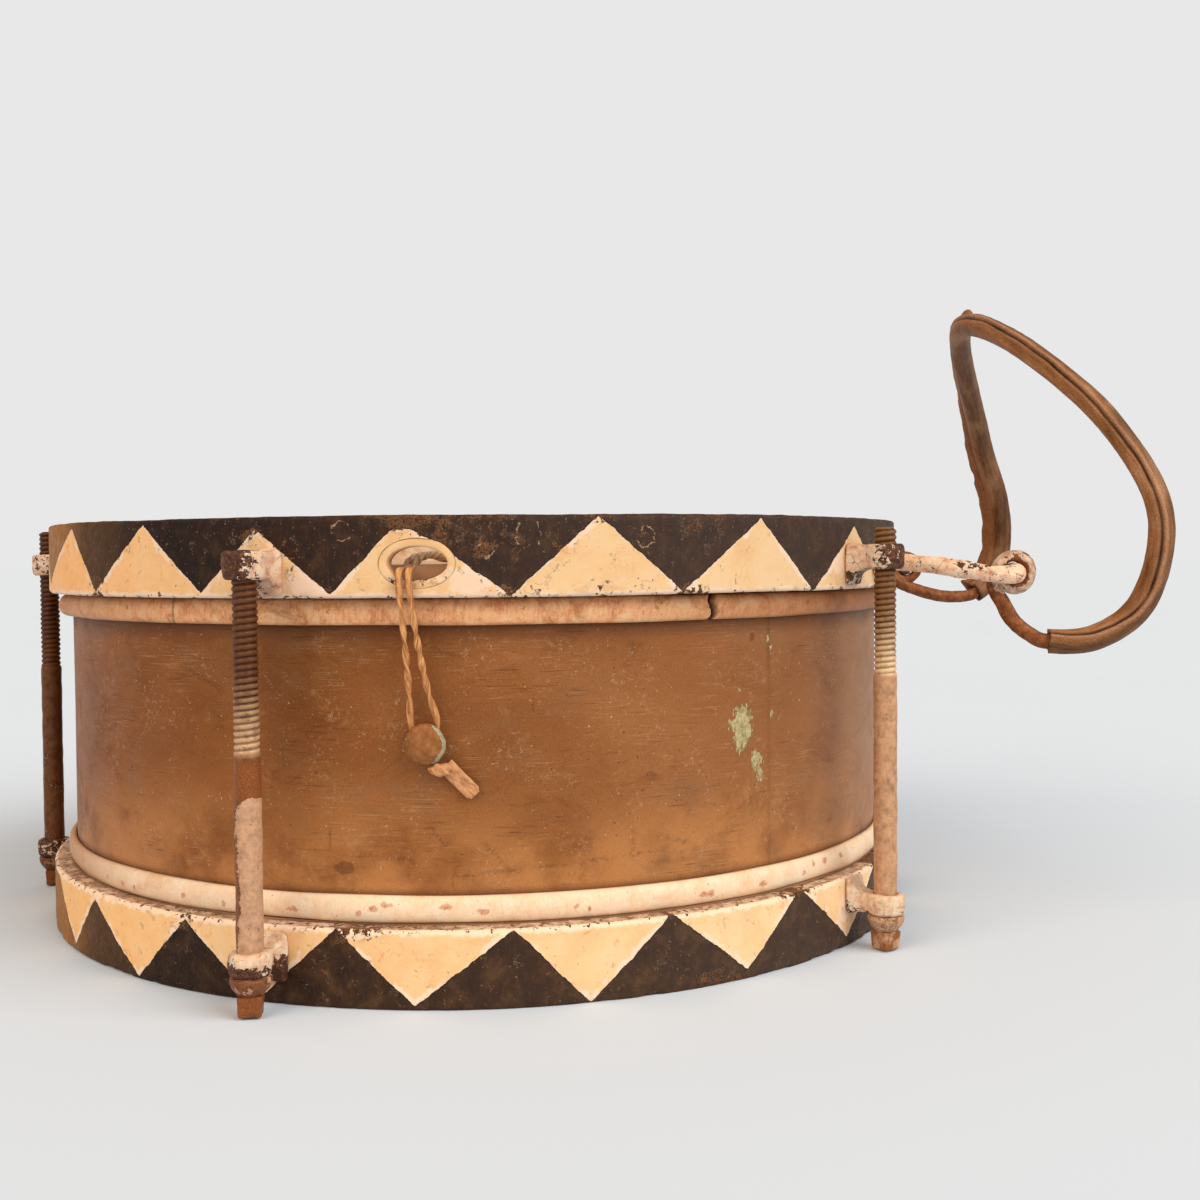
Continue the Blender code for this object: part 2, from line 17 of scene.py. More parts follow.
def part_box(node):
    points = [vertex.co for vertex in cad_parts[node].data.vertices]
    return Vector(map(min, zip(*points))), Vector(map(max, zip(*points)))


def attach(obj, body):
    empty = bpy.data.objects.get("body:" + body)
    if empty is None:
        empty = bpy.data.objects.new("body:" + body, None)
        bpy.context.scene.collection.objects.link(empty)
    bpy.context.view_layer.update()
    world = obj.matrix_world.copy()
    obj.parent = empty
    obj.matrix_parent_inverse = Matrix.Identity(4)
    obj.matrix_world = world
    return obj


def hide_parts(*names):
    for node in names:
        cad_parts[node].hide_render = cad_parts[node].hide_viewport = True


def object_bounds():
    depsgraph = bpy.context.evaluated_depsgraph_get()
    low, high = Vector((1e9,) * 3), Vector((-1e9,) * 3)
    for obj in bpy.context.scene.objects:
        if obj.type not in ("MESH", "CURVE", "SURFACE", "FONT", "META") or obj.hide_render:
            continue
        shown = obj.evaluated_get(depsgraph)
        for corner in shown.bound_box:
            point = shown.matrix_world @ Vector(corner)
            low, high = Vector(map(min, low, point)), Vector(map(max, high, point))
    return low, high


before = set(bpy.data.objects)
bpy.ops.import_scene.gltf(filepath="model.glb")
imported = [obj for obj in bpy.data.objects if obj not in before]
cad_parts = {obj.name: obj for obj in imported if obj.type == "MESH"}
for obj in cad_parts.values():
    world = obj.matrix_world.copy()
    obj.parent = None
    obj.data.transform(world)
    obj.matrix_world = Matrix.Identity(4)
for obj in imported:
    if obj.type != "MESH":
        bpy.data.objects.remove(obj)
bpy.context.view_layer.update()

MM = 0.001
LIGHT = (1.30, 1.17, 1.01)    # brightness of a white surface that faces the front
SHEEN = (0.014, 0.012, 0.010)    # what a surface's gloss adds to it there
UP = (0.0, 0.0, 1.0)

SHELL_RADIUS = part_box("shell")[1].x
HOOP_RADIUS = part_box("upper_counter_hoop")[1].x
HOOP_WALL = 0.0077
FACE_OF_METAL = HOOP_RADIUS + 0.0003    # where claws and bracket plates lie on the hoops
FLOOR_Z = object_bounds()[0].z
ROD_CIRCLE = -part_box("tension_rod_1")[0].x - 0.0071
GATES = {"front": -1.9, "rear": -1.9 + 180}    # azimuths of the snare gates
GATE_Z = 0.1324
GATE_HALF = (0.0103, 0.0057)
BUSH_RIM = 0.0028


def make_camera():
    """Camera a little above the shell's top edge, looking along +Y and slightly down."""
    data = bpy.data.cameras.new("camera")
    data.lens = 42.0
    data.sensor_width = 36.0
    camera = bpy.data.objects.new("camera", data)
    bpy.context.scene.collection.objects.link(camera)
    tilt = Matrix.Rotation(math.pi / 2 - 0.0314, 4, "X") @ Matrix.Rotation(-0.0077, 4, "Z")
    camera.matrix_world = Matrix.Translation((0.0552, -0.6603, 0.1344)) @ tilt
    bpy.context.scene.camera = camera


make_camera()


# Numbers -------------------------------------------------------------------------------------
def value_noise(points, grain, seed):
    """Smooth noise from -1 to 1 at (n, 3) points in metres; grain is its size in metres."""
    place = np.asarray(points, float) / grain + 71.7 * seed + 5000.0
    cell = np.floor(place).astype(np.int64)
    part = place - cell
    part = part * part * (3.0 - 2.0 * part)
    total = np.zeros(len(place))
    for corner in range(8):
        step = np.array([corner & 1, (corner >> 1) & 1, (corner >> 2) & 1])
        x, y, z = (cell + step).T
        mixed = (x * 374761393 + y * 668265263 + z * 2147483647 + seed * 97) & 0xFFFFFFFF
        mixed = ((mixed ^ (mixed >> 13)) * 1274126177) & 0xFFFFFFFF
        mixed = mixed ^ (mixed >> 16)
        weight = np.prod(np.where(step, part, 1.0 - part), axis=1)
        total += weight * ((mixed & 0xFFFF) / 32767.5 - 1.0)
    return total


def rough_noise(points, grain, seed, octaves=3):
    """Sum of smooth noises, each of half the grain and strength of the last."""
    flat = points.reshape(-1, 3)
    total = np.zeros(len(flat))
    for octave in range(octaves):
        total += value_noise(flat, grain / 2 ** octave, seed + octave) / 2 ** octave
    return total.reshape(points.shape[:-1])


def rise(low, high, values):
    """0 below low, 1 above high, and a smooth rise between them."""
    t = np.clip((values - low) / (high - low), 0.0, 1.0)
    return t * t * (3.0 - 2.0 * t)


def bell(values, width):
    """1 at zero, falling off smoothly to both sides."""
    return np.exp(-(values / width) ** 2)


def full_turn(count):
    """Angles round a circle."""
    return np.linspace(0, 2 * math.pi, count, endpoint=False)


def unit(vectors):
    """Vectors brought to length 1."""
    return vectors / np.linalg.norm(vectors, axis=1)[:, None]


def polar(azimuth, radius, z):
    """Points at azimuths, distances from the axis and heights, as an (..., 3) array."""
    angle = np.radians(azimuth)
    return np.stack(np.broadcast_arrays(radius * np.sin(angle), -radius * np.cos(angle), z), -1)


def at_rim(azimuth, points):
    """Points given as (along the rim, outwards, up), turned to an azimuth."""
    angle = math.radians(azimuth)
    along = np.array((math.cos(angle), math.sin(angle), 0.0))
    out = np.array((math.sin(angle), -math.cos(angle), 0.0))
    given = np.asarray(points, float)
    return given[..., :1] * along + given[..., 1:2] * out + given[..., 2:] * UP


def along_rim(azimuth, start, radius=SHELL_RADIUS):
    """Distance in metres along the rim from a start to each azimuth."""
    return np.radians((azimuth - start + 180.0) % 360.0 - 180.0) * radius


def ring_azimuths(front_step, back_step):
    """Azimuths round the drum, closer together on the side that the photo shows."""
    return np.concatenate([np.arange(-80.0, 80.0, front_step), np.arange(80.0, 280.0, back_step)])


def near(azimuth, z, spots, radius=SHELL_RADIUS):
    """Strength at each place of soft spots: (azimuth, z, width, height, strength)."""
    total = np.zeros(np.broadcast(azimuth, z).shape)
    for spot_azimuth, spot_z, wide, high, strength in spots:
        across = along_rim(azimuth, spot_azimuth, radius) / MM / wide
        total = total + strength * np.exp(-(across ** 2 + ((z / MM - spot_z) / high) ** 2))
    return total


def smooth_route(points, steps):
    """Catmull-Rom curve through points, with some steps for each stretch."""
    given = np.asarray(points, float)
    ends = np.vstack([2 * given[0] - given[1], given, 2 * given[-1] - given[-2]])
    route = []
    for index in range(1, len(ends) - 2):
        before, start, end, after = ends[index - 1:index + 3]
        for t in (step / steps for step in range(steps)):
            route.append(0.5 * (2 * start + (end - before) * t
                                + (2 * before - 5 * start + 4 * end - after) * t ** 2
                                + (3 * start - before - 3 * end + after) * t ** 3))
    return np.array(route + [given[-1]])


def shares(route):
    """Share of a route's length at each of its points, and the length."""
    gaps = np.linalg.norm(np.diff(route, axis=0), axis=1)
    return np.concatenate([[0.0], np.cumsum(gaps)]) / gaps.sum(), float(gaps.sum())


# Meshes --------------------------------------------------------------------------------------
def piece(node, mesh, surface, body="drum", name=None):
    """Visible object of a mesh with one material, in the place of one of the CAD's nodes."""
    made = bpy.data.objects.new((name or node) + "_visual", mesh)
    bpy.context.scene.collection.objects.link(made)
    mesh.materials.append(surface)
    mesh.shade_smooth()
    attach(made, body)
    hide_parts(node)
    return made


@contextlib.contextmanager
def editing(mesh):
    """A mesh's bmesh, written back at the end."""
    shape = bmesh.new()
    shape.from_mesh(mesh)
    yield shape
    shape.to_mesh(mesh)
    shape.free()


def face_outwards(mesh):
    """Turns the mesh's normals outwards."""
    with editing(mesh) as shape:
        bmesh.ops.recalc_face_normals(shape, faces=shape.faces)


def add_values(mesh, **values):
    """Named numbers on each point of a mesh, for its material to read."""
    for key, numbers in values.items():
        made = mesh.attributes.new(key, "FLOAT", "POINT")
        full = np.broadcast_to(numbers, len(mesh.vertices))
        made.data.foreach_set("value", full.astype(np.float32))


def grid_mesh(points, wrap_rows=False, values=None, keep=None):
    """Mesh of a (rows, columns, 3) grid whose columns close; values are its named numbers for
    each point, and keep says which of its quads stay. Its normals are turned outwards."""
    index = np.arange(points[..., 0].size).reshape(points.shape[:2])
    low = index if wrap_rows else index[:-1]
    high = np.roll(index, -1, 0) if wrap_rows else index[1:]
    faces = np.stack((low, np.roll(low, -1, 1), np.roll(high, -1, 1), high), -1).reshape(-1, 4)
    if keep is not None:
        faces = faces[keep(faces)]
    mesh = bpy.data.meshes.new("grid")
    mesh.from_pydata(points.reshape(-1, 3).tolist(), [], faces.tolist())
    add_values(mesh, **{key: np.broadcast_to(each, index.shape).ravel()
                        for key, each in (values or {}).items()})
    with editing(mesh) as shape:
        loose = [vert for vert in shape.verts if not vert.link_faces]
        bmesh.ops.delete(shape, geom=loose, context="VERTS")
        bmesh.ops.remove_doubles(shape, verts=shape.verts, dist=0.000002)
        bmesh.ops.recalc_face_normals(shape, faces=shape.faces)
    return mesh


def read(mesh, key="co"):
    """A mesh's points, or with "normal" its normals, as an (n, 3) array."""
    flat = np.zeros(len(mesh.vertices) * 3, np.float32)
    mesh.vertices.foreach_get(key, flat)
    return flat.reshape(-1, 3).astype(float)


def set_points(mesh, points):
    """Moves a mesh's points."""
    mesh.vertices.foreach_set("co", np.asarray(points, np.float32).ravel())
    mesh.update()


def roughen(mesh, *layers):
    """Pushes points along their normals by layers of noise: (depth, grain, seed)."""
    points = read(mesh)
    push = sum(depth * rough_noise(points, grain, seed) for depth, grain, seed in layers)
    set_points(mesh, points + read(mesh, "normal") * push[:, None])


def along_frames(route, up):
    """Tangent, side and top unit vectors at each point of a route; up leads the first top."""
    tangent = unit(np.gradient(route, axis=0))
    top, tops = np.asarray(up, float), []
    for direction in tangent:
        top = top - direction * np.dot(top, direction)
        top = top / np.linalg.norm(top)
        tops.append(top)
    return tangent, np.cross(tangent, tops), np.array(tops)


def beside(centres, side, top, across, over):
    """Rings of points at distances to the side and to the top of each centre."""
    return centres[:, None] + side[:, None] * across[..., None] + top[:, None] * over[..., None]


def sweep(route, section, up=UP):
    """Points of a section swept along a route, closed at both ends, and the route's shares.
    section(share) gives the offsets to the side and to the top."""
    tangent, side, top = along_frames(route, up)
    share = shares(route)[0]
    points = beside(route, side, top, *section(share[:, None]))
    return np.concatenate([points[:1] * 0 + route[0], points, points[:1] * 0 + route[-1]]), share


def box_mesh(low, high, bevel, segments=2):
    """Box between two corners with rounded edges."""
    size = Vector(high) - Vector(low)
    place = Matrix.Translation((Vector(high) + Vector(low)) / 2) @ Matrix.Diagonal((*size, 1.0))
    mesh = bpy.data.meshes.new("box")
    with editing(mesh) as shape:
        bmesh.ops.create_cube(shape, size=1.0, matrix=place)
        bmesh.ops.bevel(shape, geom=shape.edges[:], offset=bevel, segments=segments,
                        affect="EDGES", profile=0.5)
    return mesh


def turned_mesh(profile, steps=48, x=0.0):
    """Upright solid of revolution of a profile of (radius, height) at a distance along X."""
    angle = full_turn(steps)
    radius, height = np.array(profile, float).T[..., None]
    return grid_mesh(np.stack(np.broadcast_arrays(radius * np.cos(angle) + x,
                                                  radius * np.sin(angle), height), -1))


def joined(*meshes):
    """One mesh of several."""
    made = bpy.data.meshes.new("joined")
    with editing(made) as shape:
        for mesh in meshes:
            shape.from_mesh(mesh)
    return made


def modified(mesh, *modifiers):
    """Mesh with modifiers applied: rows of a kind and its settings."""
    item = bpy.data.objects.new("modified", mesh)
    bpy.context.scene.collection.objects.link(item)
    for kind, settings in modifiers:
        modifier = item.modifiers.new(kind, kind)
        for key, value in settings.items():
            setattr(modifier, key, value)
    bpy.context.view_layer.update()
    graph = bpy.context.evaluated_depsgraph_get()
    made = bpy.data.meshes.new_from_object(item.evaluated_get(graph))
    bpy.data.objects.remove(item, do_unlink=True)
    return made


def fused(mesh, voxel, rounds):
    """One skin round a mesh of overlapping solids, rounded where they meet."""
    return modified(mesh, ("REMESH", {"mode": "VOXEL", "voxel_size": voxel}),
                    ("SMOOTH", {"factor": 0.5, "iterations": rounds}))


# Materials -----------------------------------------------------------------------------------
def tint(red, green, blue):
    """Linear colour that shows as this sRGB colour in the scene's light."""
    linear = []
    for value, light, sheen in zip((red, green, blue), LIGHT, SHEEN):
        share = value / 255
        share = share / 12.92 if share <= 0.04045 else ((share + 0.055) / 1.055) ** 2.4
        linear.append(min(max(share - sheen, 0.002 + 0.2 * share) / light, 0.95))
    return (*linear, 1.0)


class Value:
    """Number or colour in a material, with sums written as on plain numbers."""

    def __init__(self, surface, socket):
        self.surface = surface
        self.socket = socket

    def math(self, operation, first, second=0.0):
        """Result of a sum on two numbers."""
        return self.surface.add("Math", {0: first, 1: second}, operation=operation)

    def __add__(self, other):
        return self.math("ADD", self, other)

    def __sub__(self, other):
        return self.math("SUBTRACT", self, other)

    def __rsub__(self, other):
        return self.math("SUBTRACT", other, self)

    def __mul__(self, other):
        return self.math("MULTIPLY", self, other)

    def __abs__(self):
        return self.math("ABSOLUTE", self)

    def least(self, other):
        """The smaller of two numbers."""
        return self.math("MINIMUM", self, other)

    def most(self, other):
        """The larger of two numbers."""
        return self.math("MAXIMUM", self, other)

    def swing(self, reach):
        """A noise brought to run from minus to plus half a reach."""
        return (self - 0.5) * reach

    def span(self, low, high, start=0.0, end=1.0):
        """Smooth rise from start to end as the value goes from low to high."""
        return self.surface.add("MapRange", {
            "Value": self, "From Min": low, "From Max": high, "To Min": start, "To Max": end},
            interpolation_type="SMOOTHSTEP", clamp=True)

    def tone(self, *stops):
        """Colour from a row of (place, *colour) stops."""
        made = self.surface.add("ValToRGB", {0: self})
        ramp = made.socket.node.color_ramp
        while len(ramp.elements) < len(stops):
            ramp.elements.new(0.5)
        for element, (place, *colour) in zip(ramp.elements, stops):
            element.position = place
            element.color = tint(*colour) if len(colour) == 3 else colour
        return made

    def under(self, *layers):
        """The colour with others laid over it in turn: rows of (share, colour)."""
        colour = self
        for share, over in layers:
            colour = self.surface.mix(share, colour, over)
        return colour


class Surface:
    """Procedural material whose patterns are drawn in millimetres of the part's frame, or
    along a piece by the along and around millimetres that its mesh holds."""

    def __init__(self, name, metallic=0.0, specular=0.3, roughness=0.5, follows=False):
        self.material = bpy.data.materials.new(name)
        self.material.use_nodes = True
        self.tree = self.material.node_tree
        self.shader = self.tree.nodes["Principled BSDF"]
        for key, value in (("Roughness", roughness), ("Metallic", metallic),
                           ("Specular IOR Level", specular)):
            self.feed(self.shader.inputs[key], value)
        if follows:
            self.place = self.add("CombineXYZ", {0: self.value("along"), 1: self.value("around")})
        else:
            self.place = self.add("VectorMath", {0: self.add("TexCoord", {}, "Object"),
                                                 "Scale": 1000.0}, operation="SCALE")

    def feed(self, socket, value):
        """Links or sets an input; a colour of three numbers is an sRGB one."""
        if isinstance(value, Value):
            self.tree.links.new(value.socket, socket)
        elif socket.type == "RGBA" and len(value) == 3:
            socket.default_value = tint(*value)
        else:
            socket.default_value = value

    def add(self, kind, inputs, output=0, **settings):
        """Output of a new node with settings and inputs."""
        node = self.tree.nodes.new("ShaderNode" + kind)
        for key, value in settings.items():
            setattr(node, key, value)
        for key, value in inputs.items():
            self.feed(node.inputs[key], value)
        return Value(self, node.outputs[output])

    def mix(self, share, first, second):
        """Colour between two others."""
        return self.add("Mix", {0: share, 6: first, 7: second}, 2, data_type="RGBA",
                        blend_type="MIX")

    def moved(self, stretch, seed):
        """Place with each direction drawn out by a factor, shifted by a seed."""
        return self.add("VectorMath", {
            0: self.place, 1: [1.0 / each for each in stretch],
            2: (seed * 31.7, seed * 17.3, seed * 23.1)}, operation="MULTIPLY_ADD")

    def noise(self, grain, seed=0.0, detail=4.0, rough=0.55, stretch=(1.0, 1.0, 1.0), twist=0.0):
        """Cloudy noise from 0 to 1 of a grain in millimetres."""
        return self.add("TexNoise", {
            "Vector": self.moved(stretch, seed), "Scale": 1.0 / grain, "Detail": detail,
            "Roughness": rough, "Distortion": twist}, "Fac")

    def cracks(self, grain, seed, bend, stretch=(1.0, 1.0, 1.0)):
        """Distance in cells to the nearest border of a mosaic of bent cells."""
        source = self.add("TexNoise", {"Vector": self.moved(stretch, seed + 3.0),
                                       "Scale": 0.7 / grain}, "Color")
        warp = self.add("VectorMath", {0: source, "Scale": bend}, operation="SCALE")
        place = self.add("VectorMath", {0: self.moved(stretch, seed), 1: warp}, operation="ADD")
        return self.add("TexVoronoi", {"Vector": place, "Scale": 1.0 / grain}, "Distance",
                        feature="DISTANCE_TO_EDGE")

    def value(self, name):
        """Number that the mesh holds at each point."""
        return self.add("Attribute", {}, "Fac", attribute_type="GEOMETRY", attribute_name=name)

    def axis(self, letter):
        """One coordinate in millimetres."""
        return self.add("SeparateXYZ", {0: self.place}, letter)

    def ring(self, place, radius, width, seed):
        """Broken, uneven circle on the surface round a place, both in millimetres."""
        away = self.add("VectorMath", {0: self.place, 1: place}, "Value", operation="DISTANCE")
        off = abs(away + self.noise(2.6, seed).swing(5.0) - radius)
        return off.span(width, width * 0.4) * self.noise(3.4, seed + 0.5, 2.0).span(0.44, 0.52)

    def done(self, colour, roughness=None, height=None, depth=0.2):
        """Sets the colour, and the roughness and the relief where they vary. depth is the
        height in millimetres that the relief stands for."""
        inputs = {"Base Color": colour}
        if roughness is not None:
            inputs["Roughness"] = roughness
        if height is not None:
            inputs["Normal"] = self.add("Bump", {"Strength": 1.0, "Distance": depth * MM,
                                                 "Height": height})
        for key, value in inputs.items():
            self.feed(self.shader.inputs[key], value)
        return self.material


def painted_wood(name, low, high, seed, peels=(), yellow_light_lift=1.0, black_dust_and_light_lift=1.0):
    """Old yellow and black oil paint on a wooden hoop between two heights, chipped along its
    edges, with blisters that have peeled. Reads edge (millimetres into the yellow), inset
    (millimetres in from the outer face), wear and fade. peels are (place, radius) of blisters.
    The last two arguments brighten the yellow and the black: painted light that makes up for
    the dimmer light on the lower hoop, and on its black also dust."""
    def lit(*colour):
        return [each * yellow_light_lift for each in colour]

    def lift_black(*colour):
        return [each * black_dust_and_light_lift for each in colour]

    s = Surface(name, specular=0.14)
    noise, x, z = s.noise, s.axis("X"), s.axis("Z")
    wear, inset = s.value("wear"), s.value("inset")
    right = x.span(-160, 170)
    rim = (z - low / MM).least(high / MM - z)
    line = (s.value("edge") + noise(5, seed, 5, 0.55).swing(1.9)
            + noise(1.2, seed + 1.5, 3).swing(0.5))
    fine = noise(0.55, seed + 1, 3)
    speck = noise(1, seed + 1.2, 2)
    faded = s.value("fade") + noise(4, seed + 3.5, 5, 0.62).swing(1.3)
    strip = ((line + noise(3, seed + 13).swing(4)).span(2.2, 1.3)
             * noise(16, seed + 14, 2).span(0.48, 0.54))
    bare_rim = (rim + noise(3.6, seed + 15, 4).swing(5)).span(2.3, 1.1)
    yellow = noise(17, seed + 2, 5, 0.6).tone(
        (0.32, *lit(249, 186, 122)), (0.50, *lit(258, 202, 139)), (0.68, *lit(258, 211, 154)))
    yellow = yellow.under(
        # painted light: paler towards the right, where the key light's sheen falls, and warmer
        # towards the left, under the warm fill light
        (right * 0.30, lit(257, 218, 168)),
        (x.span(-60, -165, 0, 0.6), lit(296, 194, 112)),
        (noise(1.1, seed + 2.5, 4, 0.6, (4, 4, 1)).span(0.52, 0.75, 0, 0.35), (255, 224, 180)),
        (noise(7, seed + 3, 6, 0.7, twist=1.2).span(0.55, 0.72, 0, 0.50), (236, 160, 96)),
        (faded.span(0.42, 0.60, 0, 0.85), lit(264, 222, 184)),
        (strip.most(bare_rim) * 0.85, lit(264, 224, 186)),
        (speck.span(0.70, 0.75, 0, 0.55), (170, 108, 66)))
    grain = noise(0.7, seed + 4.5, 4, 0.65, (1, 1, 6))
    flake = noise(4.6, seed + 5, 6, 0.64) + wear * 0.17
    lifted = abs(flake - 0.635).span(0.010, 0.003) * noise(6, seed + 6, 3).span(0.47, 0.54)
    for index, (place, radius) in enumerate(peels):
        lifted = lifted.most(s.ring(place, radius, 0.42, seed + 20 + index)
                             * noise(3, seed + 50 + index, 2).span(0.42, 0.48))
    black = noise(6, seed + 4, 8, 0.66).tone(
        (0.28, *lift_black(38, 23, 10)), (0.50, *lift_black(57, 38, 20)), (0.72, *lift_black(86, 60, 37)))
    black = black.under(
        (grain.span(0.50, 0.74, 0, 0.34), (104, 74, 50)),
        # painted light: darker towards the left, away from the key light, with the fill light's warm
        # sheen at the far left edge where the hoop turns away, and a paler sheen towards the right
        (x.span(-50, -100, 0, 0.45), (30, 17, 8)),
        (x.span(-104, -140, 0, 0.16), (194, 126, 56)),
        (x.span(-138, -160, 0, 0.92) * grain.span(0.34, 0.62, 0.45, 1), (194, 126, 56)),
        (right * 0.26, (120, 98, 82)),
        (flake.span(0.67, 0.71, 0, 0.85), fine.tone((0.35, 86, 55, 36), (0.65, 148, 104, 72))),
        # painted highlight along the edges of the lifted flakes and peeled blisters
        (lifted * 0.85, (190, 150, 116)),
        (speck.span(0.69, 0.74, 0, 0.75), (168, 126, 90)))
    # the border between them with a painted shadow along it, chips, and the hoop's other faces
    white = fine.tone((0.35, 250, 204, 162), (0.6, 264, 234, 204))
    border = (line.span(-0.06, 0.06) * line.span(0.50, 0.30)
              * noise(3.4, seed + 7, 3).span(0.46, 0.54))
    worn = (noise(2.3, seed + 8, 5, 0.64) + rim.span(0.2, 2.4, 0.125, 0) + wear * 0.12
            + abs(line).span(0.9, 0.1, 0, 0.035))
    chipped = worn.span(0.700, 0.712)
    cut = fine.tone((0.36, 68, 42, 28), (0.64, 138, 94, 62)).under(
        (noise(3, seed + 9, 3).span(0.55, 0.62) * line.span(-0.5, 0.5) * 0.8,
         white.under((fine.span(0.42, 0.58), (176, 146, 104)))))
    halo = worn.span(0.676, 0.692) * worn.span(0.712, 0.700)
    lining = noise(9, seed + 17, 6, 0.66).tone(
        (0.32, 206, 154, 112), (0.50, 238, 198, 160), (0.68, 248, 218, 188))
    colour = black.under(
        (line.span(-0.07, 0.07), yellow),
        (border * 0.85, white),
        # painted shadow on the black along the raised yellow paint's edge
        (line.span(-0.50, -0.25) * line.span(0.04, -0.10) * 0.55, (34, 20, 12)),
        (chipped, cut),
        (halo * line.span(-0.4, 0.4) * 0.55, (255, 236, 208)),
        (inset.span(0.9, 1.6) * noise(5, seed + 16, 6, 0.7).span(0.36, 0.62, 0.25, 0.85),
         (158, 104, 70)),
        (inset.span(6.6, 7.4), lining))
    height = (noise(1.4, seed + 12, 5, 0.6) * line.span(-0.4, 0.4, 0.85, 0.30)
              + chipped * -0.9 + lifted * 0.5)
    rough = noise(3, seed + 18, 3).span(0.3, 0.7, 0.40, 0.62) + chipped * 0.2
    return s.done(colour, rough, height, 0.30)


def aged_brass(name):
    """Sheet brass gone brown, with level scratches, curled pale marks and dark scuffs. Reads
    verdigris, stain, scuff, haze, seam, scrape and shade."""
    s = Surface(name, metallic=0.1, specular=0.2)
    noise, value, x, z = s.noise, s.value, s.axis("X"), s.axis("Z")
    grit = noise(0.55, 2.5, 3, 0.6)
    smudge = noise(13, 3, 7, 0.7, (1.8, 1.8, 1), 0.8)
    grain = noise(0.8, 5, 3, 0.6, (18, 18, 0.4))
    patch = noise(20, 6, 4, 0.6, (1.6, 1.6, 1)).span(0.48, 0.62)
    scratch = grain.span(0.57, 0.68) * (patch * 0.6 + value("scrape"))
    wisp = (abs(noise(4.2, 6.5, 5, 0.62, (1.5, 1.5, 1), 2.2) - 0.5).span(0.013, 0.004)
            * noise(2.2, 6.7, 3).span(0.50, 0.60) * noise(17, 6.8, 3).span(0.50, 0.58))
    dark_patch = noise(16, 7.5, 3, stretch=(2.2, 2.2, 1)).span(0.50, 0.62)
    crust = (value("verdigris") + noise(2.6, 11, 6, 0.7).swing(1.7)
             + noise(0.9, 11.5, 4, 0.6, (0.7, 0.7, 2.8)).swing(1.5))
    crusted = crust.span(0.44, 0.54)
    green = noise(1.6, 12, 5, 0.65).tone(
        (0.32, 158, 138, 82), (0.50, 202, 180, 126), (0.68, 228, 208, 160))
    cloud = noise(46, 1, 6, 0.6, (1.7, 1.7, 1)).tone(
        (0.34, 136, 76, 35), (0.50, 155, 91, 44), (0.68, 170, 105, 56))
    colour = cloud.under(
        # painted sheen: lighter towards the right, where the key light is reflected
        (x.span(-150, 170) * 0.40, (176, 115, 72)),
        # warmer and lighter low down: partly the patina, partly painted light bounced up from the
        # floor
        (z.span(62, 24) * noise(30, 2, 5).span(0.30, 0.56) * 0.80, (214, 141, 80)),
        (noise(24, 2.3, 7, 0.72, (1.6, 1.6, 1)).span(0.50, 0.68, 0, 0.42), (150, 108, 74)),
        (grit.span(0.50, 0.72, 0, 0.30), (195, 126, 72)),
        (grit.span(0.48, 0.30, 0, 0.34), (110, 60, 27)),
        (smudge.span(0.54, 0.74, 0, 0.50), (110, 64, 33)),
        (noise(8, 4, 7, 0.72, (1.7, 1.7, 1), 0.8).span(0.56, 0.74, 0, 0.36), (208, 146, 93)),
        (scratch * 0.62, (228, 176, 124)),
        (wisp * 0.75, (222, 180, 140)),
        (noise(1, 7, 3, 0.6, (14, 14, 0.6)).span(0.56, 0.70) * dark_patch * 0.6, (93, 56, 31)),
        (noise(1.2, 8, 2, 0.5).span(0.722, 0.750, 0, 0.7), (226, 184, 142)),
        (noise(1.3, 9, 2).span(0.715, 0.745, 0, 0.8), (74, 41, 20)),
        # painted sheen where the lights are reflected, mostly on the right
        (value("painted_sheen") * 0.46, (195, 146, 106)),
        # painted warm sheen of the fill light at the far left edge, where the shell turns away
        (x.span(-150, -181, 0, 0.7), (146, 86, 24)),
        (value("shade") * 0.30, (92, 56, 29)),
        ((value("stain") + noise(2.6, 10, 5, 0.65).swing(0.7)).span(0.42, 0.56, 0, 0.55),
         (104, 62, 36)),
        (value("scuff") * noise(1.4, 10.5, 4).span(0.40, 0.56) * 0.45, (89, 56, 34)),
        (value("seam") * 0.42, (110, 70, 44)),
        # darker just under the upper flesh hoop, as painted shadow with some dirt, and just above
        # the lower flesh hoop
        ((z.span(103, 111) + z.span(21, 17.5)) * 0.60, (78, 45, 24)),
        (crusted * 0.92, green.under((noise(3, 12.5, 2).span(0.56, 0.64) * 0.6,
                                      (140, 136, 74)))))
    rough = smudge.span(0.3, 0.7, 0.42, 0.58) + crusted * 0.3 + grit.span(0.35, 0.65, -0.06, 0.06)
    height = noise(2, 13, 5) * 0.2 + crusted * 0.8 + grit * 0.18 + scratch * -0.12
    return s.done(colour, rough, height, 0.16)


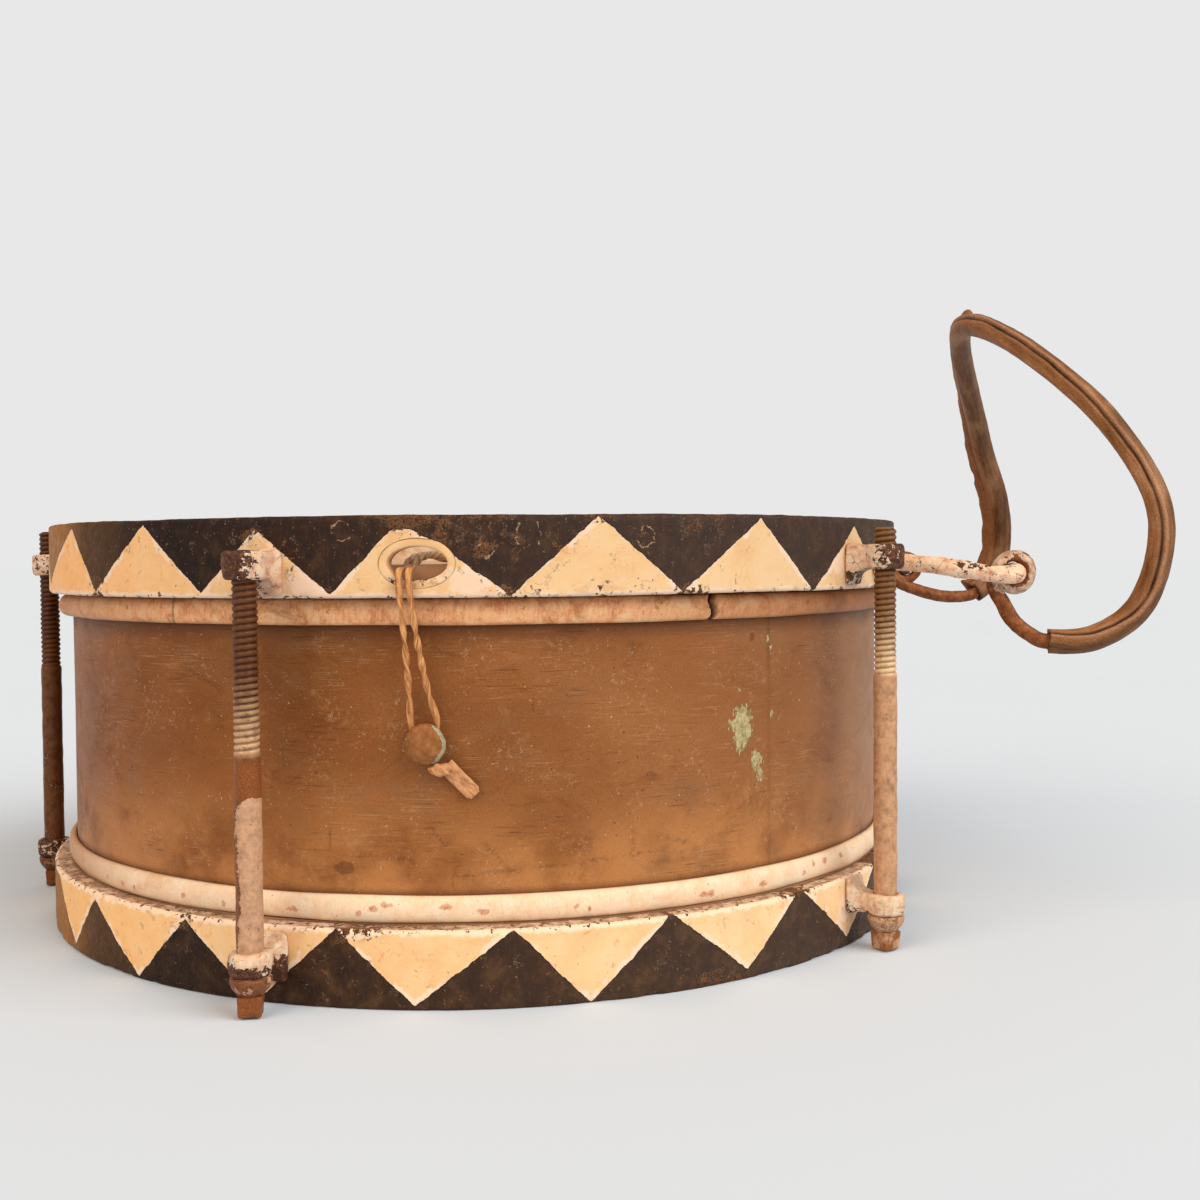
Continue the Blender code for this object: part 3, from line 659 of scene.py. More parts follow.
def lapped_skin(name, seed, pale, mid, dark, shade, red, painted_side_shade):
    """Skin lapped round a hoop: soft clouds, faint folds across it, seeping stains, and painted
    shade that darkens it towards its sides, a share for each (start, end, share) band of the last
    argument along X. Reads stain and gap; gap marks painted shade in the lap's gap and joint."""
    s = Surface(name, specular=0.25)
    noise, stain = s.noise, s.value("stain")
    fold = noise(0.8, seed, 4, 0.6, (1, 1, 4))
    wide = noise(8, seed + 1, 6, 0.62, (1, 1, 0.8), 0.6)
    stipple = noise(0.6, seed + 3, 3, 0.6)
    # darker copy of the shade colour, for the painted shade at the sides
    side_shade_colour = [each * 0.88 for each in shade]
    colour = (fold * 0.34 + wide * 0.66).tone((0.36, *dark), (0.50, *mid), (0.62, *pale)).under(
        (noise(16, seed + 2, 6, 0.65, twist=1).span(0.52, 0.70, 0, 0.6), shade),
        (stipple.span(0.54, 0.74, 0, 0.40), shade),
        ((stain + noise(1.7, seed + 4, 5, 0.65).swing(2)).span(0.50, 0.62, 0, 0.62), red),
        ((stain + noise(1.3, seed + 5, 4, 0.6).swing(2)).span(0.86, 1.02, 0, 0.55),
         (178, 92, 56)),
        (noise(1, seed + 6, 2).span(0.71, 0.75, 0, 0.8), (110, 62, 38)),
        # painted shade towards the sides, along X
        *[(s.axis("X").span(start, end, 0, share), side_shade_colour) for start, end, share in painted_side_shade],
        # painted shade in the lap's gap and along its joint
        (s.value("gap"), (58, 34, 20)))
    height = fold * 0.5 + wide * 0.5 + stipple * 0.2
    return s.done(colour, wide.span(0.3, 0.7, 0.42, 0.62), height, 0.22)


def drum_skin(name, seed):
    """Calf skin of a head: cream and tan clouds, faint veins, dirt towards the hoop."""
    s = Surface(name)
    noise = s.noise
    vein = abs(noise(46, seed + 1, 5, 0.5, twist=0.6).swing(1))
    fibre = noise(1.4, seed + 2, 5, 0.65, (6, 1.2, 1))
    scuff = noise(24, seed + 3, 7, 0.7, twist=1)
    colour = noise(60, seed, 6, 0.6).tone(
        (0.34, 196, 142, 92), (0.52, 226, 178, 128), (0.70, 242, 206, 160))
    colour = colour.under(
        (vein.span(0.008, 0.001) * noise(70, seed + 1.5, 2).span(0.46, 0.58, 0, 0.30),
         (176, 112, 66)),
        (noise(2.6, seed + 1.7, 4, 0.6, (1.4, 1, 1)).span(0.56, 0.74, 0, 0.30), (188, 128, 80)),
        (fibre.span(0.55, 0.75, 0, 0.35), (170, 112, 68)),
        (scuff.span(0.56, 0.74, 0, 0.55), (158, 104, 64)),
        (s.value("rim") * 0.7, (214, 156, 110)),
        (noise(1.7, seed + 4, 2).span(0.72, 0.76, 0, 0.7), (110, 66, 38)))
    return s.done(colour, scuff.span(0.3, 0.7, 0.42, 0.62), fibre * 0.4 + scuff * 0.6, 0.18)


def painted_iron(name, seed, pale, mid):
    """Cream paint over rusted iron. Reads cover: how much of the paint is left."""
    s = Surface(name)
    noise = s.noise
    fine = noise(0.5, seed, 4, 0.6)
    paint = noise(3.6, seed + 1, 6, 0.62).tone((0.30, 212, 146, 104), (0.46, *mid), (0.60, *pale))
    rust = noise(1.5, seed + 3, 7, 0.7).tone(
        (0.30, 52, 30, 20), (0.50, 92, 55, 36), (0.70, 156, 98, 62))
    left = (s.value("cover") + noise(2.4, seed + 4, 6, 0.70).swing(2.6)
            + noise(0.9, seed + 4.5, 3).swing(0.7))
    share = left.span(0.47, 0.52)
    split = (s.cracks(3.6, seed + 5, 1.4).span(0.022, 0.008)
             * noise(5, seed + 6, 2).span(0.54, 0.58))
    colour = rust.under(
        (share, paint.under((noise(1.5, seed + 2, 5, 0.7).span(0.57, 0.70, 0, 0.6),
                             (176, 106, 64)))),
        (left.span(0.40, 0.46) * left.span(0.50, 0.47) * 0.8, (46, 26, 17)),
        (left.span(0.50, 0.54) * left.span(0.66, 0.58) * 0.55, (255, 232, 202)),
        (fine.span(0.66, 0.72, 0, 0.55), (96, 56, 34)),
        (split * share * 0.7, (74, 42, 26)))
    height = share * 0.7 + fine * 0.5 + split * -0.5
    return s.done(colour, fine.span(0.3, 0.7, 0.42, 0.68), height, 0.3)


def rod_iron(name, seed, deep, ridge, polish_and_glint, shank, paint):
    """Threaded iron rod. Reads groove (depth in the thread), polish, shank, rust and cover
    (paint). Its pale colour serves both the rubbed polish near the thread's end and painted
    glints, specks of highlight scattered over the thread."""
    def shades(colour, first, last, darker, lighter):
        return ((first, *[each * darker for each in colour]),
                ((first + last) / 2, *colour),
                (last, *[min(255.0, each * lighter) for each in colour]))

    s = Surface(name, metallic=0.1, specular=0.15)
    noise, value = s.noise, s.value
    fine = noise(0.5, seed, 5, 0.65)
    cloud = noise(4, seed + 1, 5, 0.6)
    left = (value("cover") + noise(3.4, seed + 3, 6, 0.66).swing(1.7)
            + noise(0.8, seed + 3.5, 3).swing(0.5))
    share = left.span(0.47, 0.53)
    colour = s.mix(value("polish"), ridge, polish_and_glint).under(
        (value("groove").span(0.20, 0.80) * value("polish").span(0, 1, 1, 0.55), deep),
        (cloud.span(0.50, 0.70, 0, 0.5), deep),
        # painted highlight: glints scattered over the thread
        (fine.span(0.62, 0.72, 0, 0.4), polish_and_glint),
        (value("shank"), noise(3, seed + 2, 6, 0.66).tone(*shades(shank, 0.32, 0.72, 0.80, 1.12))),
        ((value("rust") + cloud.swing(0.9)).span(0.38, 0.52, 0, 0.92),
         fine.tone((0.35, 130, 70, 36), (0.65, 176, 104, 60))),
        (share, noise(2.6, seed + 4, 6, 0.66).tone(*shades(paint, 0.32, 0.68, 0.86, 1.10))),
        (left.span(0.40, 0.46) * left.span(0.50, 0.47) * 0.7, (62, 36, 24)),
        (noise(0.7, seed + 5, 3).span(0.66, 0.71, 0, 0.7), (120, 70, 44)),
        (noise(1.5, seed + 6, 2).span(0.71, 0.75, 0, 0.8), (104, 56, 32)))
    rough = fine.span(0.3, 0.7, 0.30, 0.48) + share * 0.2
    return s.done(colour, rough, share * 0.8 + fine * 0.5, 0.16)


def rusty_wire(name, seed):
    """Bare iron wire, brown with rust. Reads cover where paint is left on it."""
    s = Surface(name, metallic=0.3, specular=0.35)
    noise = s.noise
    fine = noise(0.7, seed, 5, 0.65)
    left = s.value("cover") + noise(3, seed + 2, 6, 0.66).swing(3)
    share = left.span(0.46, 0.54)
    rust = noise(3, seed + 1, 6, 0.66).tone(
        (0.30, 112, 62, 32), (0.50, 150, 86, 46), (0.70, 186, 116, 70))
    paint = noise(2.4, seed + 3, 6, 0.65).tone(
        (0.30, 176, 118, 82), (0.48, 226, 182, 146), (0.64, 250, 220, 188))
    colour = rust.under((fine.span(0.58, 0.70, 0, 0.5), (96, 54, 30)), (share, paint),
                        (left.span(0.34, 0.46) * left.span(0.66, 0.54) * 0.6, (110, 64, 38)))
    return s.done(colour, fine.span(0.3, 0.7, 0.45, 0.7), share * 0.8 + fine * 0.6, 0.22)


def old_leather(name):
    """Brown leather, rubbed pale along its ridges. Reads crease, lip, grey and flange."""
    s = Surface(name, specular=0.2, follows=True)
    streak = s.noise(1.7, 1, 4, 0.55, (9, 1, 1))
    both = streak * 0.32 + s.noise(13, 2, 6, 0.66, (2, 1, 1)) * 0.68
    grain = s.cracks(0.9, 3, 0.3, (1.6, 1, 1))
    grey = both.tone((0.34, 74, 50, 30), (0.50, 128, 88, 56), (0.66, 186, 134, 92))
    colour = both.tone((0.34, 92, 52, 26), (0.45, 146, 90, 50), (0.56, 178, 117, 70),
                       (0.68, 214, 156, 108))
    colour = colour.under(
        (s.value("grey") * 0.85, grey),
        (s.value("lip") * 0.7, (206, 150, 112)),
        (s.value("flange") * 0.8, (156, 94, 54)),
        (grain.span(0.10, 0.02, 0, 0.35), (60, 36, 22)),
        # painted shade in the seam's slit and inside the sleeve's open ends
        (s.value("slit_shade"), (30, 17, 10)))
    return s.done(colour, streak.span(0.35, 0.65, 0.36, 0.60), streak * 0.8 + grain * 0.5, 0.25)


def twisted_gut(name, pale, mid, dark, seed, stretch=7.0):
    """Gut or hide drawn out into a strand, its fibres along it. Reads groove."""
    s = Surface(name, specular=0.35, follows=True)
    fibre = s.noise(0.8, seed, 5, 0.62, (stretch, 1, 1))
    colour = fibre.tone((0.34, *dark), (0.50, *mid), (0.66, *pale)).under(
        (s.value("groove") * 0.7, dark), (s.noise(4, seed + 1).span(0.56, 0.72, 0, 0.4), dark))
    return s.done(colour, fibre.span(0.3, 0.7, 0.36, 0.56), fibre, 0.2)


def stud_brass(name):
    """Rubbed brown brass with green crust round its edge. Reads crust."""
    s = Surface(name, metallic=0.1, specular=0.25)
    fine = s.noise(0.5, 81, 5, 0.65)
    share = (s.value("crust") + s.noise(1.3, 83, 5, 0.7).swing(1.6)).span(0.45, 0.55)
    colour = s.noise(2.6, 82, 5, 0.6).tone(
        (0.32, 146, 88, 46), (0.52, 168, 104, 56), (0.70, 190, 124, 74))
    colour = colour.under((fine.span(0.60, 0.72, 0, 0.4), (110, 64, 34)),
                          (share, fine.tone((0.35, 138, 118, 76), (0.6, 206, 190, 150))))
    return s.done(colour, fine.span(0.3, 0.7, 0.42, 0.62), share * 0.8 + fine * 0.5, 0.25)


# Snare: the thongs, then the gut loop -------------------------------------------------------
# each strand's place along the rim, distance out and height
THONG_ROUTES = {
    "left": ((-0.0060, 0.1852, 0.1306), (-0.0060, 0.1896, 0.1301), (-0.0059, 0.1919, 0.1284),
             (-0.0057, 0.1924, 0.1254), (-0.0055, 0.1920, 0.1206), (-0.0044, 0.1892, 0.1045),
             (-0.0037, 0.1864, 0.0885), (-0.0036, 0.1842, 0.0784), (-0.0024, 0.1829, 0.0722)),
    "right": ((-0.0029, 0.1852, 0.1308), (-0.0028, 0.1896, 0.1299), (-0.0026, 0.1919, 0.1279),
              (-0.0023, 0.1924, 0.1250), (-0.0019, 0.1920, 0.1204), (0.0, 0.1889, 0.1045),
              (0.0026, 0.1862, 0.0895), (0.0054, 0.1842, 0.0790), (0.0051, 0.1829, 0.0726)),
}
THONG_WIDTH = 0.0025
THONG_THICKNESS = 0.0013


def blunt(values, power):
    """A cosine or sine drawn out so that its circle becomes a rounded square."""
    return np.sign(values) * np.abs(values) ** power


def strip_section(width, thickness, turns, columns=16, wobble=0.0, seed=1):
    """Section of a flat strip with round edges that twists by some turns along its length."""
    angle = full_turn(columns)[None]
    wide = blunt(np.cos(angle), 0.7) * width / 2
    thick = blunt(np.sin(angle), 0.7) * thickness / 2

    def section(share):
        twist = 2 * math.pi * (turns * rise(0.12, 1.0, share))
        size = 1.0 + wobble * value_noise(np.repeat(share, 3, 1) * 9.0, 1.0, seed)[:, None]
        return (size * (wide * np.cos(twist) - thick * np.sin(twist)),
                size * (wide * np.sin(twist) + thick * np.cos(twist)))
    return section


def make_thong(side_name, strand, turns):
    """One strand of a thong, from inside the gate over its lip to the stud."""
    azimuth = GATES[side_name]
    route = smooth_route([at_rim(azimuth, place) for place in THONG_ROUTES[strand]], 12)
    section = strip_section(THONG_WIDTH, THONG_THICKNESS, turns, wobble=0.10, seed=len(strand))
    points, share = sweep(route, section, up=at_rim(azimuth, (0.0, 1.0, 0.0)))
    length = shares(route)[1]
    values = {"along": np.concatenate([share[:1], share, share[-1:]])[:, None] * length / MM,
              "around": np.linspace(0, math.pi * THONG_WIDTH / MM, points.shape[1]),
              "groove": 0.0}
    name = "thong_%s_%s" % (side_name, strand)
    made = piece("snare_" + name, grid_mesh(points, values=values), thong_hide,
                 name=name)


thong_hide = twisted_gut("thong_hide", (252, 186, 120), (222, 147, 84), (148, 86, 44), 3.0)
for side_name in GATES:
    make_thong(side_name, "left", 2.2)
    make_thong(side_name, "right", -2.7)


def make_gut_loop():
    """Endless loop of twisted gut that lies across the snare head from gate to gate. Near each
    gate it rises off the head's edge and swings over to the thongs."""
    radius, half_gap, twist_length = 0.0014, 0.0017, 0.0044
    rest = (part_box("snare_head")[1].z + 0.0003 + radius) / MM
    # (reach from the axis, across, height) in millimetres, from the front to the middle
    half = ((180.3, -4.1, 131.5), (176.0, -1.9, 134.4), (168.0, 2.6, 135.4),
            (150.0, 4.6, 134.0), (120.0, 4.6, rest), (60.0, 2.6, rest))
    back = tuple((-reach, -across, z) for reach, across, z in half[::-1])
    middle = smooth_route(np.array(half + ((0.0, 0.0, rest),) + back) * MM, 44)
    ahead = unit(np.gradient(middle, axis=0))
    aside = unit(np.cross(ahead, UP))
    turn = np.linspace(0, math.pi, 14)[1:-1, None]
    near_end = middle[0] + half_gap * (aside[0] * -np.cos(turn) - ahead[0] * np.sin(turn))
    far_end = middle[-1] + half_gap * (aside[-1] * np.cos(turn) + ahead[-1] * np.sin(turn))
    places = np.concatenate([middle + half_gap * aside, far_end,
                             (middle - half_gap * aside)[::-1], near_end])
    route = at_rim(GATES["front"], places[:, (1, 0, 2)])
    gaps = np.linalg.norm(np.diff(route, axis=0, append=route[:1]), axis=1)
    length = gaps.sum()
    along = np.concatenate([[0.0], np.cumsum(gaps)[:-1]])[:, None]
    tangent = unit(np.roll(route, -1, 0) - np.roll(route, 1, 0))
    side = unit(np.cross(tangent, UP))
    angle = full_turn(16)[None]
    turns = round(length / twist_length)
    twist = np.cos(2 * (angle - 2 * math.pi * turns / 2 * along / length))
    size = radius * (0.86 + 0.14 * twist)
    points = beside(route, side, np.cross(side, tangent), size * np.cos(angle),
                    size * np.sin(angle))
    values = {"along": along / MM, "around": radius / MM * angle, "groove": rise(0.0, -1.0, twist)}
    gut = twisted_gut("gut", (255, 226, 182), (246, 198, 148), (176, 116, 74), 5.0, 1.5)
    piece("snare_gut_loop", grid_mesh(points, wrap_rows=True, values=values), gut,
          name="gut_loop")


make_gut_loop()


# Counter hoops -------------------------------------------------------------------------------
# (azimuth, height in millimetres) of the corners of the painted zigzag, from the left edge of
# the front round to the right; the rest of each hoop repeats it evenly
UPPER_ZIGZAG = ((-64.4, 124.2), (-51.7, 146.6), (-44.9, 122.4), (-35.1, 147.0), (-26.4, 122.4),
                (-19.3, 144.6), (-10.9, 122.1), (-4.6, 143.4), (-2.5, 144.2), (7.7, 121.6),
                (16.8, 148.2), (26.3, 121.6), (36.7, 147.3), (45.4, 120.6), (54.8, 145.3),
                (63.6, 121.6))
LOWER_ZIGZAG = ((-60.6, 5.6), (-53.1, -16.5), (-46.8, 5.2), (-37.2, -18.3), (-29.5, 6.3),
                (-20.0, -18.8), (-10.9, 8.1), (-2.6, -17.9), (7.6, 8.0), (15.6, -19.0),
                (24.8, 9.0), (34.6, -15.8), (42.9, 9.8), (52.6, -15.3), (61.4, 8.6))
TOOTH = 17.2    # degrees that one tooth of the zigzag takes up round the back
HOOP_STEP = 0.37    # degrees between a hoop's sections
BORDER_SLANT = 0.76    # distance from the slanting border over height above it


def zigzag(corners, high, low):
    """Corners of the whole zigzag: the given ones, then an even row round the back."""
    start, end = corners[-1][0], corners[0][0] + 360.0
    count = 2 * round((end - start) / TOOTH)
    wander = np.sin(np.arange(1, count) * 2.4) * 1.1
    rest = [(start + (end - start) * step / count + wander[step - 1],
             (low if step % 2 == 0 else high) + 0.9 * math.sin(step * 3.7))
            for step in range(1, count)]
    return np.array(list(corners) + rest)


def hoop_section(low, high, rows=22, chamfer=0.0013):
    """Outline of a hoop's section: heights and distances in from its outer face, from the
    bottom of the inner face round the outer one."""
    curve = [(chamfer * (1 - math.sin(a)), chamfer * (1 - math.cos(a)))
             for a in np.linspace(0, math.pi / 2, 4)]
    across = np.linspace(chamfer, HOOP_WALL, 5)[1:]
    outline = [(low, each) for each in across[::-1]]
    outline += [(low + up, inset) for up, inset in curve[::-1]]
    outline += [(z, 0.0) for z in np.linspace(low + chamfer, high - chamfer, rows)[1:-1]]
    outline += [(high - down, inset) for down, inset in curve]
    outline += [(high, each) for each in across]
    outline += [(z, HOOP_WALL + 0.0003) for z in np.linspace(high - 0.0006, low + 0.0006, 7)]
    return np.array(outline).T[..., None]


def make_counter_hoop(name, corners, high, low, seed, wear_spots, peels, fades,
                      pierced=False, side=1.0, yellow_light_lift=1.0, black_dust_and_light_lift=1.0):
    """Painted wooden hoop, its zigzag drawn on the mesh so that its corners are sharp. side
    is -1 where the yellow lies above the zigzag. wear_spots and fades are soft spots, and
    peels are blisters: (azimuth, height, radius in millimetres)."""
    bottom, top = (corner.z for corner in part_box(name))
    knots = zigzag(corners, high, low)
    knots = np.vstack([knots, knots[:1] + (360.0, 0.0)])
    azimuth = np.concatenate([
        np.linspace(start, end, max(2, round((end - start) / HOOP_STEP)), endpoint=False)
        for start, end in zip(knots[:-1, 0], knots[1:, 0])])
    border = np.interp(azimuth, knots[:, 0], knots[:, 1]) * MM
    z, inset = hoop_section(bottom, top)
    edge = side * (border[None] - z) / MM * BORDER_SLANT
    ring = polar(azimuth, HOOP_RADIUS, 0.0)
    flat = polar(azimuth[None], HOOP_RADIUS, z)
    outer = rise(0.004, 0.0, inset)
    yellow = rise(-0.4, 0.4, edge)
    blister = rough_noise(flat, 0.0055, seed)
    fine = rough_noise(flat, 0.0016, seed + 7, 2)
    swell = rough_noise(flat, 0.014, seed + 9, 2)
    wear = near(azimuth[None], z, wear_spots, HOOP_RADIUS)
    push = (yellow * (0.00014 + 0.00010 * swell + 0.00004 * fine)
            + (1 - yellow) * (0.00016 * blister + 0.00009 * fine) * (1.0 + 0.9 * wear))
    bend = 0.00035 * value_noise(ring, 0.07, seed + 3)
    rim = np.minimum(z - bottom, top - z)
    bite = rise(0.15, 0.9, rough_noise(flat, 0.0075, seed + 11))
    bite *= rise(0.0022, 0.0, rim) * outer
    radius = HOOP_RADIUS + bend[None] - inset + outer * push - 0.0008 * bite
    values = {"edge": edge, "wear": wear, "inset": inset / MM,
              "fade": near(azimuth[None], z, fades, HOOP_RADIUS)}
    lift = 0.0003 * value_noise(ring, 0.05, seed + 5)
    z = z + lift[None] + 0.00012 * rise(0.0015, 0.0, rim) * blister
    z = np.maximum(z, bottom)
    points, keep = polar(azimuth[None], radius, z), None
    if pierced:
        points, keep = pierce(points, azimuth, z)
    peels = [(tuple(polar(place, HOOP_RADIUS, height * MM) / MM), size)
             for place, height, size in peels]
    piece(name, grid_mesh(points, wrap_rows=True, values=values, keep=keep),
          painted_wood(name + "_paint", bottom, top, seed, peels, yellow_light_lift, black_dust_and_light_lift))


def pierce(points, azimuth, z):
    """Opens the two oval holes of the snare gates: draws the points near each hole on to its
    outline, and returns a test for the quads that stay."""
    half = (GATE_HALF[0] + BUSH_RIM + 0.0001, GATE_HALF[1] + BUSH_RIM + 0.0001)
    inside = np.zeros(z.shape, bool)
    radius = np.hypot(points[..., 0], points[..., 1])
    for gate in GATES.values():
        across, up = along_rim(azimuth, gate, HOOP_RADIUS)[None], z - GATE_Z
        size = np.hypot(across / half[0], up / half[1])
        inside |= size < 1.0
        here = (size < 1.0) & (size > 0.3)
        scale = np.where(here, 1.0 / np.maximum(size, 0.3), 1.0)
        snapped = polar(gate + np.degrees(across * scale / HOOP_RADIUS), radius,
                        GATE_Z + up * scale)
        points = np.where(here[..., None], snapped, points)
    flat = inside.ravel()
    return points, lambda faces: ~flat[faces].all(axis=1)


make_counter_hoop(
    "upper_counter_hoop", UPPER_ZIGZAG, 147.0, 121.8, 11,
    ((-1.0, 147.0, 16.0, 5.0, 1.2), (6.5, 141.0, 9.0, 7.0, 0.9), (12.0, 136.0, 8.0, 7.0, 0.7),
     (-44.9, 124.5, 6.0, 4.0, 2.0), (-20.0, 142.6, 5.0, 3.5, 1.9), (27.0, 122.0, 8.0, 2.5, 1.6),
     (7.0, 123.0, 6.0, 3.0, 1.2), (-15.5, 134.0, 5.0, 6.0, 1.2), (10.0, 123.4, 4.0, 1.6, 1.6),
     (17.5, 124.0, 6.0, 1.8, 1.7), (22.0, 123.4, 5.0, 1.6, 1.6), (17.0, 147.0, 4.0, 2.0, 1.4),
     (29.0, 144.5, 9.0, 4.0, 1.1), (21.5, 140.0, 3.0, 3.0, 0.8), (1.1, 140.2, 5.0, 3.5, 1.3),
     (-3.6, 146.5, 7.0, 2.0, 1.4), (4.6, 136.6, 2.2, 2.6, 2.2)),
    ((9.5, 142.3, 4.4), (5.0, 136.2, 2.3), (-9.7, 143.3, 3.4), (22.0, 141.0, 3.6),
     (120.0, 138.0, 4.0), (175.0, 141.0, 3.4), (251.0, 136.0, 3.8)),
    ((3.6, 126.2, 9.0, 6.0, 1.0), (-13.6, 125.4, 9.0, 6.0, 1.0), (-20.5, 143.0, 3.0, 3.0, 0.8),
     (50.8, 133.0, 5.0, 9.0, 0.9), (27.5, 124.0, 5.0, 2.5, 0.8), (140.0, 126.0, 9.0, 5.0, 0.8)),
    pierced=True)
# the lower hoop's yellow and black are brightened: painted light for the dimmer light there, and
# dust on the black
make_counter_hoop(
    "lower_counter_hoop", LOWER_ZIGZAG, 8.4, -17.4, 31,
    ((-8.5, 6.5, 9.0, 3.0, 1.5), (-12.0, -5.0, 6.0, 9.0, 0.7), (31.0, -17.0, 12.0, 3.0, 1.5),
     (24.0, -4.0, 7.0, 8.0, 0.6), (43.0, 8.0, 8.0, 3.0, 1.2), (-30.0, 5.0, 8.0, 3.0, 1.0)),
    ((95.0, -8.0, 3.6), (221.0, -6.0, 3.4)),
    ((-20.0, -2.0, 7.0, 6.0, 1.0), (52.0, -4.0, 8.0, 8.0, 0.8), (-9.0, 7.0, 9.0, 3.0, 0.9),
     (160.0, 0.0, 9.0, 6.0, 0.8)), side=-1.0, yellow_light_lift=1.06, black_dust_and_light_lift=1.20)


def make_bush(side_name):
    """Oval bush let into the upper hoop, its face following the hoop's."""
    angle = full_turn(112)
    # (share of the rim's width from the hole outwards, distance out from the hoop's face)
    outline = ((0.0, -HOOP_WALL), (0.0, -0.003), (0.0, -0.0007), (0.04, -0.0002), (0.10, 0.0),
               (0.30, 0.0001), (0.55, 0.0001), (0.80, 0.0001), (0.94, 0.00005), (1.0, 0.0),
               (1.01, -0.0005), (1.01, -0.004), (1.0, -HOOP_WALL), (0.5, -HOOP_WALL))
    wander = 0.06 * value_noise(np.stack([np.cos(angle), np.sin(angle), 0 * angle], -1), 0.30, 7)
    rows = []
    for share, proud in outline:
        share = share + (wander + 0.025) * (share > 0.85)
        across = (GATE_HALF[0] + BUSH_RIM * share) * np.cos(angle)
        up = (GATE_HALF[1] + BUSH_RIM * share) * np.sin(angle)
        rows.append(polar(GATES[side_name] + np.degrees(across / HOOP_RADIUS),
                          HOOP_RADIUS + proud, GATE_Z + up))
    points = np.array(rows)
    out = points * [1, 1, 0]
    out /= np.linalg.norm(out, axis=-1)[..., None]
    points = points + out * (0.00016 * rough_noise(points, 0.004, 5))[..., None]
    lip = 1.0 - np.linspace(0.0, 1.0, len(outline))[:, None]
    values = {"edge": 1.5 + 7.5 * rise(-0.2, 0.3, np.sin(angle)), "inset": 0.0, "fade": 0.0,
              "wear": 0.15 + 1.5 * rise(-0.55, -0.95, np.sin(angle)) * lip}
    piece("snare_gate_bush_" + side_name, grid_mesh(points, wrap_rows=True, values=values),
          bush_paint)


bush_paint = painted_wood("bush_paint", 0.05, 0.20, 51)
for side_name in GATES:
    make_bush(side_name)


# Shell, flesh hoops and heads ----------------------------------------------------------------
SEAM_AZIMUTH = 40.7


def scratches(azimuth, z, lines, width=0.0005):
    """Strength at each place on the shell of straight scratches from one (azimuth, z) to
    another."""
    total = np.zeros(np.broadcast(azimuth, z).shape)
    for start_azimuth, start_z, end_azimuth, end_z in lines:
        across, up = along_rim(azimuth, start_azimuth), z - start_z * MM
        run = np.radians(end_azimuth - start_azimuth) * SHELL_RADIUS
        climb = (end_z - start_z) * MM
        share = np.clip((across * run + up * climb) / (run ** 2 + climb ** 2), 0.0, 1.0)
        total = np.maximum(total, bell(np.hypot(across - share * run, up - share * climb), width))
    return total


